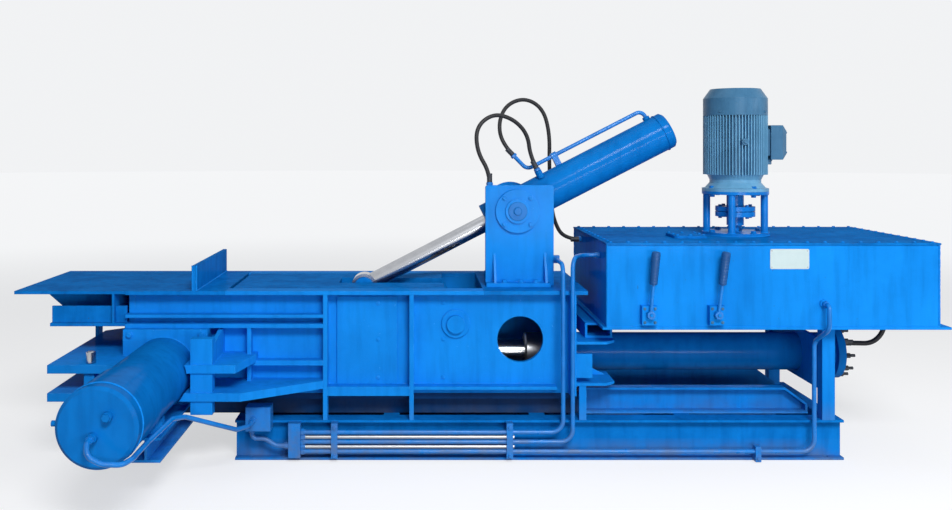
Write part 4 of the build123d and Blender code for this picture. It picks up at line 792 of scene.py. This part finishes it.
def lathed(name, start, way, profile, paint, body, sides=28):
    """A turned piece: rings at a distance and radius along a line, closed at both ends."""
    way = Vector(way).normalized()
    shape = bmesh.new()
    rings = [[shape.verts.new(point) for point in circle(Vector(start) + way * reach, way, radius, sides)]
             for reach, radius in profile]
    for lower, upper in zip(rings, rings[1:]):
        for step in range(sides):
            after = (step + 1) % sides
            shape.faces.new((lower[step], lower[after], upper[after], upper[step]))
    shape.faces.new(rings[0][::-1])
    shape.faces.new(rings[-1])
    bmesh.ops.recalc_face_normals(shape, faces=shape.faces)
    return keep_shape(name, shape, paint, body)


crest, groove, pitch = 0.0145, 0.0136, 0.007
ferrule = [(0, 0.0125), (0.002, crest)]
for step in range(5):
    start = 0.005 + pitch * step
    ferrule += [(start, crest), (start + 0.0015, groove), (start + 0.004, groove), (start + 0.0055, crest)]
ferrule += [(0.044, crest), (0.046, 0.0115)]
near_foot, near_head = (-0.234, -0.182, 1.389), along(0.206, 0.142, -0.05)
far_head, out_of_port, into_port = (-0.0917, 0.022, 1.5309), (-0.0665, 0, 0.0682), (0.0665, 0, -0.0682)
return_foot, return_head = (1.68, -0.04, 0.516), (1.908, -0.045, 0.608)
for name, start, way, body in (("near_hose_foot", near_foot, up, "machine"),
                               ("near_hose_head", near_head, barrel_up, "lift_cylinder"),
                               ("far_hose_head", far_head, out_of_port, "lift_cylinder"),
                               ("far_hose_tail", (0.258, 0.23, 1.05), right, "machine"),
                               ("suction_foot", return_foot, right, "machine"),
                               ("suction_head", return_head, up, "machine")):
    lathed(name, start, way, ferrule, dark_steel, body)
hose_nut = {"head": 0.0178, "height": 0.013, "collar": 0.0155, "rise": 0.003}
screws("hose_nuts", [(near_foot, down), ((0.304, 0.23, 1.05), right), (return_foot, left),
                     ((1.908, -0.045, 0.654), up)], pipe_paint, "machine", "pipe_paint", **hose_nut)
screws("lid_hose_nuts", [(near_head, -barrel_up), (far_head, into_port)], pipe_paint, "lift_cylinder",
       "pipe_paint", **hose_nut)

# Lever grips: moulded plastic sleeves, a little wider towards the hand's end, with
# ten ribs, pushed on the rods of the two valve levers.
grip_paint = finish_with(
    "grip_plastic", enamel,
    {"Paint": (0.004, 0.07, 0.24, 1), "Undercoat": (0.01, 0.012, 0.02, 1), "Tone": 0.4, "Tone Scale": 20.0,
     "Wear": 0.3, "Corner": 0.001},
    Specular_IOR_Level=0.3)
rib_pitch, rib_rise = 0.0148, 0.0008
grip = [(0.147, 0.0125), (0.149, 0.0178)]
for step in range(10):
    start, width = 0.152 + rib_pitch * step, 0.0184 + 0.0003 * step
    grip += [(start, width), (start + 0.0016, width + rib_rise), (start + 0.0105, width + rib_rise),
             (start + 0.0121, width)]
grip += [(0.304, 0.0206), (0.3095, 0.0165), (0.311, 0.008)]
for name, x, lean in (("left", 0.524, 5), ("right", 0.855, 7)):
    lean = math.radians(lean)
    lathed(name + "_lever_grip", (x, -0.547, lever_z), (math.sin(lean), 0, math.cos(lean)), grip, grip_paint,
           "lever_" + name)

# Saddle of the feed pipe and sleeve of the yoke pin: a cut block welded on the lid
# cylinder with a round top over the pipe, and a turned sleeve that stands on the yoke.


def plate_between(name, outline, way, thickness, paint, body, bevel):
    """A plate: an outline pushed along a direction, with its edges broken."""
    shape = bmesh.new()
    face = shape.faces.new([shape.verts.new(point) for point in outline])
    pushed = bmesh.ops.extrude_face_region(shape, geom=[face])
    bmesh.ops.translate(shape, vec=Vector(way) * thickness,
                        verts=[part for part in pushed["geom"] if isinstance(part, bmesh.types.BMVert)])
    bmesh.ops.recalc_face_normals(shape, faces=shape.faces)
    bmesh.ops.bevel(shape, geom=shape.edges[:], offset=bevel, segments=2, affect="EDGES")
    return keep_shape(name, shape, paint, body)


saddle_y, saddle_foot, pipe_height = 0.022, 0.097, 0.16
foot_half, head_half, head_rise = 0.021, 0.0185, 0.0135
saddle = [(-foot_half, saddle_foot), (foot_half, saddle_foot), (foot_half, 0.15), (head_half, 0.152),
          (head_half, pipe_height)]
for step in range(1, 9):
    turn = math.radians(20 * step)
    saddle.append((head_half * math.cos(turn), pipe_height + head_rise * math.sin(turn)))
saddle += [(-head_half, pipe_height), (-head_half, 0.152), (-foot_half, 0.15)]
plate_between("feed_pipe_saddle", [along(0.314, height, saddle_y + y) for y, height in saddle], barrel_way,
              0.032, pipe_paint, "lift_cylinder", bevel=0.0008)
sleeve = [(0, 0.019), (0.002, 0.0235), (0.0535, 0.0235), (0.0555, 0.019)]
lathed("yoke_roller", (-2.187, -0.6, 0.5322), up, sleeve, chrome, "machine")

# Blank plate on the tank: a pale enamelled sheet with rounded corners, held by four
# round rivets. It carries nothing. The motor has a plain turned boss on its front.
corner, plate_y = 0.008, -0.4901
plate_x = (1.126 + corner, 1.319 - corner)
plate_z = (0.971 + corner, 1.07 - corner)
outline = []
for x, z, start in ((plate_x[1], plate_z[1], 0), (plate_x[0], plate_z[1], 90),
                    (plate_x[0], plate_z[0], 180), (plate_x[1], plate_z[0], 270)):
    outline += [(x + corner * math.cos(turn), plate_y, z + corner * math.sin(turn))
                for turn in (math.radians(start + 18 * step) for step in range(6))]
pale_enamel = finish_with(
    "pale_enamel", enamel,
    {"Paint": (0.45, 0.56, 0.58, 1), "Undercoat": (0.3, 0.36, 0.4, 1), "Tone": 0.12, "Tone Scale": 14.0,
     "Wear": 0.25, "Peel": 0.15, "Corner": 0.0008},
    Specular_IOR_Level=0.4)
plate_between("tank_plate", outline, front, 0.0018, pale_enamel, "machine", bevel=0.0005)
screws("plate_rivets", [((x, -0.4917, z), front) for x in (1.135, 1.31) for z in (0.98, 1.061)], bare_steel,
       "machine", "bare_steel", head=0.0028, height=0.0012, collar=0.0036, rise=0.0008, sides=12)
screws("motor_boss", [((1.112, -0.14, 1.6), front)], motor_paint, "machine", "motor_paint",
       head=0.0105, height=0.007, collar=0.019, rise=0.036)

# Studio: a wide pale floor that fades into a plain pale background, soft boxes and a
# camera at eye level in front of the near wall.


def seen_or_mirrored(tree):
    """One for what the camera or a glossy surface sees, and nothing for the light that it gives."""
    path = node(tree, "ShaderNodeLightPath")
    return maths(tree, "MAXIMUM", path.outputs["Is Camera Ray"], path.outputs["Is Glossy Ray"])


floor_radius, fade_near, fade_far = 60.0, 5.0, 13.0
pale_light, backdrop_level = (0.975, 0.985, 1, 1), 0.905
disc = bpy.data.meshes.new("studio_floor")
edge = [(floor_radius * math.cos(turn), floor_radius * math.sin(turn), 0.0)
        for turn in (2 * math.pi * step / 96 for step in range(96))]
disc.from_pydata(edge, [], [tuple(range(96))])
floor = bpy.data.objects.new("studio_floor", disc)
bpy.context.scene.collection.objects.link(floor)
pale = bpy.data.materials.new("pale_floor")
pale.use_nodes = True
tree = pale.node_tree
paper = tree.nodes["Principled BSDF"]
paper.inputs["Roughness"].default_value = 0.9
paper.inputs["Specular IOR Level"].default_value = 0.05
paper.inputs["Emission Color"].default_value = pale_light
place = node(tree, "ShaderNodeTexCoord")
reach = node(tree, "ShaderNodeVectorMath", operation="LENGTH")
wire(tree, (place.outputs["Object"], reach.inputs[0]))
fade = ranged(tree, reach.outputs["Value"], fade_near, fade_far, smooth=True)
floor_colour = mixed(tree, fade, (0.42, 0.42, 0.424, 1), (0, 0, 0, 1))
glow_level = ranged(tree, fade, 0.0, 1.0, low=0.6, high=backdrop_level)
glow = maths(tree, "MULTIPLY", seen_or_mirrored(tree), glow_level)
wire(tree, (floor_colour, paper.inputs["Base Color"]), (glow, paper.inputs["Emission Strength"]))
disc.materials.append(pale)

world = bpy.data.worlds.new("studio")
bpy.context.scene.world = world
world.use_nodes = True
tree = world.node_tree
sky = tree.nodes["Background"]
sky.inputs["Color"].default_value = pale_light
sky_level = ranged(tree, seen_or_mirrored(tree), 0.0, 1.0, low=0.24, high=backdrop_level)
wire(tree, (sky_level, sky.inputs["Strength"]))


def soft_box(name, place, target, size, power):
    """A square area lamp aimed at a point."""
    lamp = bpy.data.lights.new(name, "AREA")
    lamp.shape = "RECTANGLE"
    lamp.size, lamp.size_y = size
    lamp.energy = power
    holder = bpy.data.objects.new(name, lamp)
    aim = (Vector(target) - Vector(place)).to_track_quat("-Z", "Y")
    holder.matrix_world = Matrix.Translation(place) @ aim.to_matrix().to_4x4()
    bpy.context.scene.collection.objects.link(holder)


soft_box("key", place=(0.9, -8.0, 6.2), target=(0, 0, 0.6), size=(3.2, 2.0), power=690)
soft_box("low", place=(1.6, -6.5, 0.9), target=(0.9, 0, 0.45), size=(3.0, 0.8), power=115)
soft_box("side", place=(5.2, -3.0, 2.6), target=(0.4, 0, 0.7), size=(2.5, 2.5), power=70)
soft_box("top", place=(0, 0.5, 6.0), target=(0, 0, 0.5), size=(5.0, 2.5), power=30)

eye = (-0.63, -5.3, 1.573)
camera = bpy.data.cameras.new("camera")
camera.sensor_width = 36
camera.lens = 36.87
camera.shift_x = 0.065
camera.shift_y = -0.1134
viewer = bpy.data.objects.new("camera", camera)
viewer.matrix_world = Matrix.Translation(eye) @ Matrix.Rotation(math.pi / 2, 4, "X")
bpy.context.scene.collection.objects.link(viewer)
bpy.context.scene.camera = viewer
bpy.context.scene.view_settings.view_transform = "Standard"
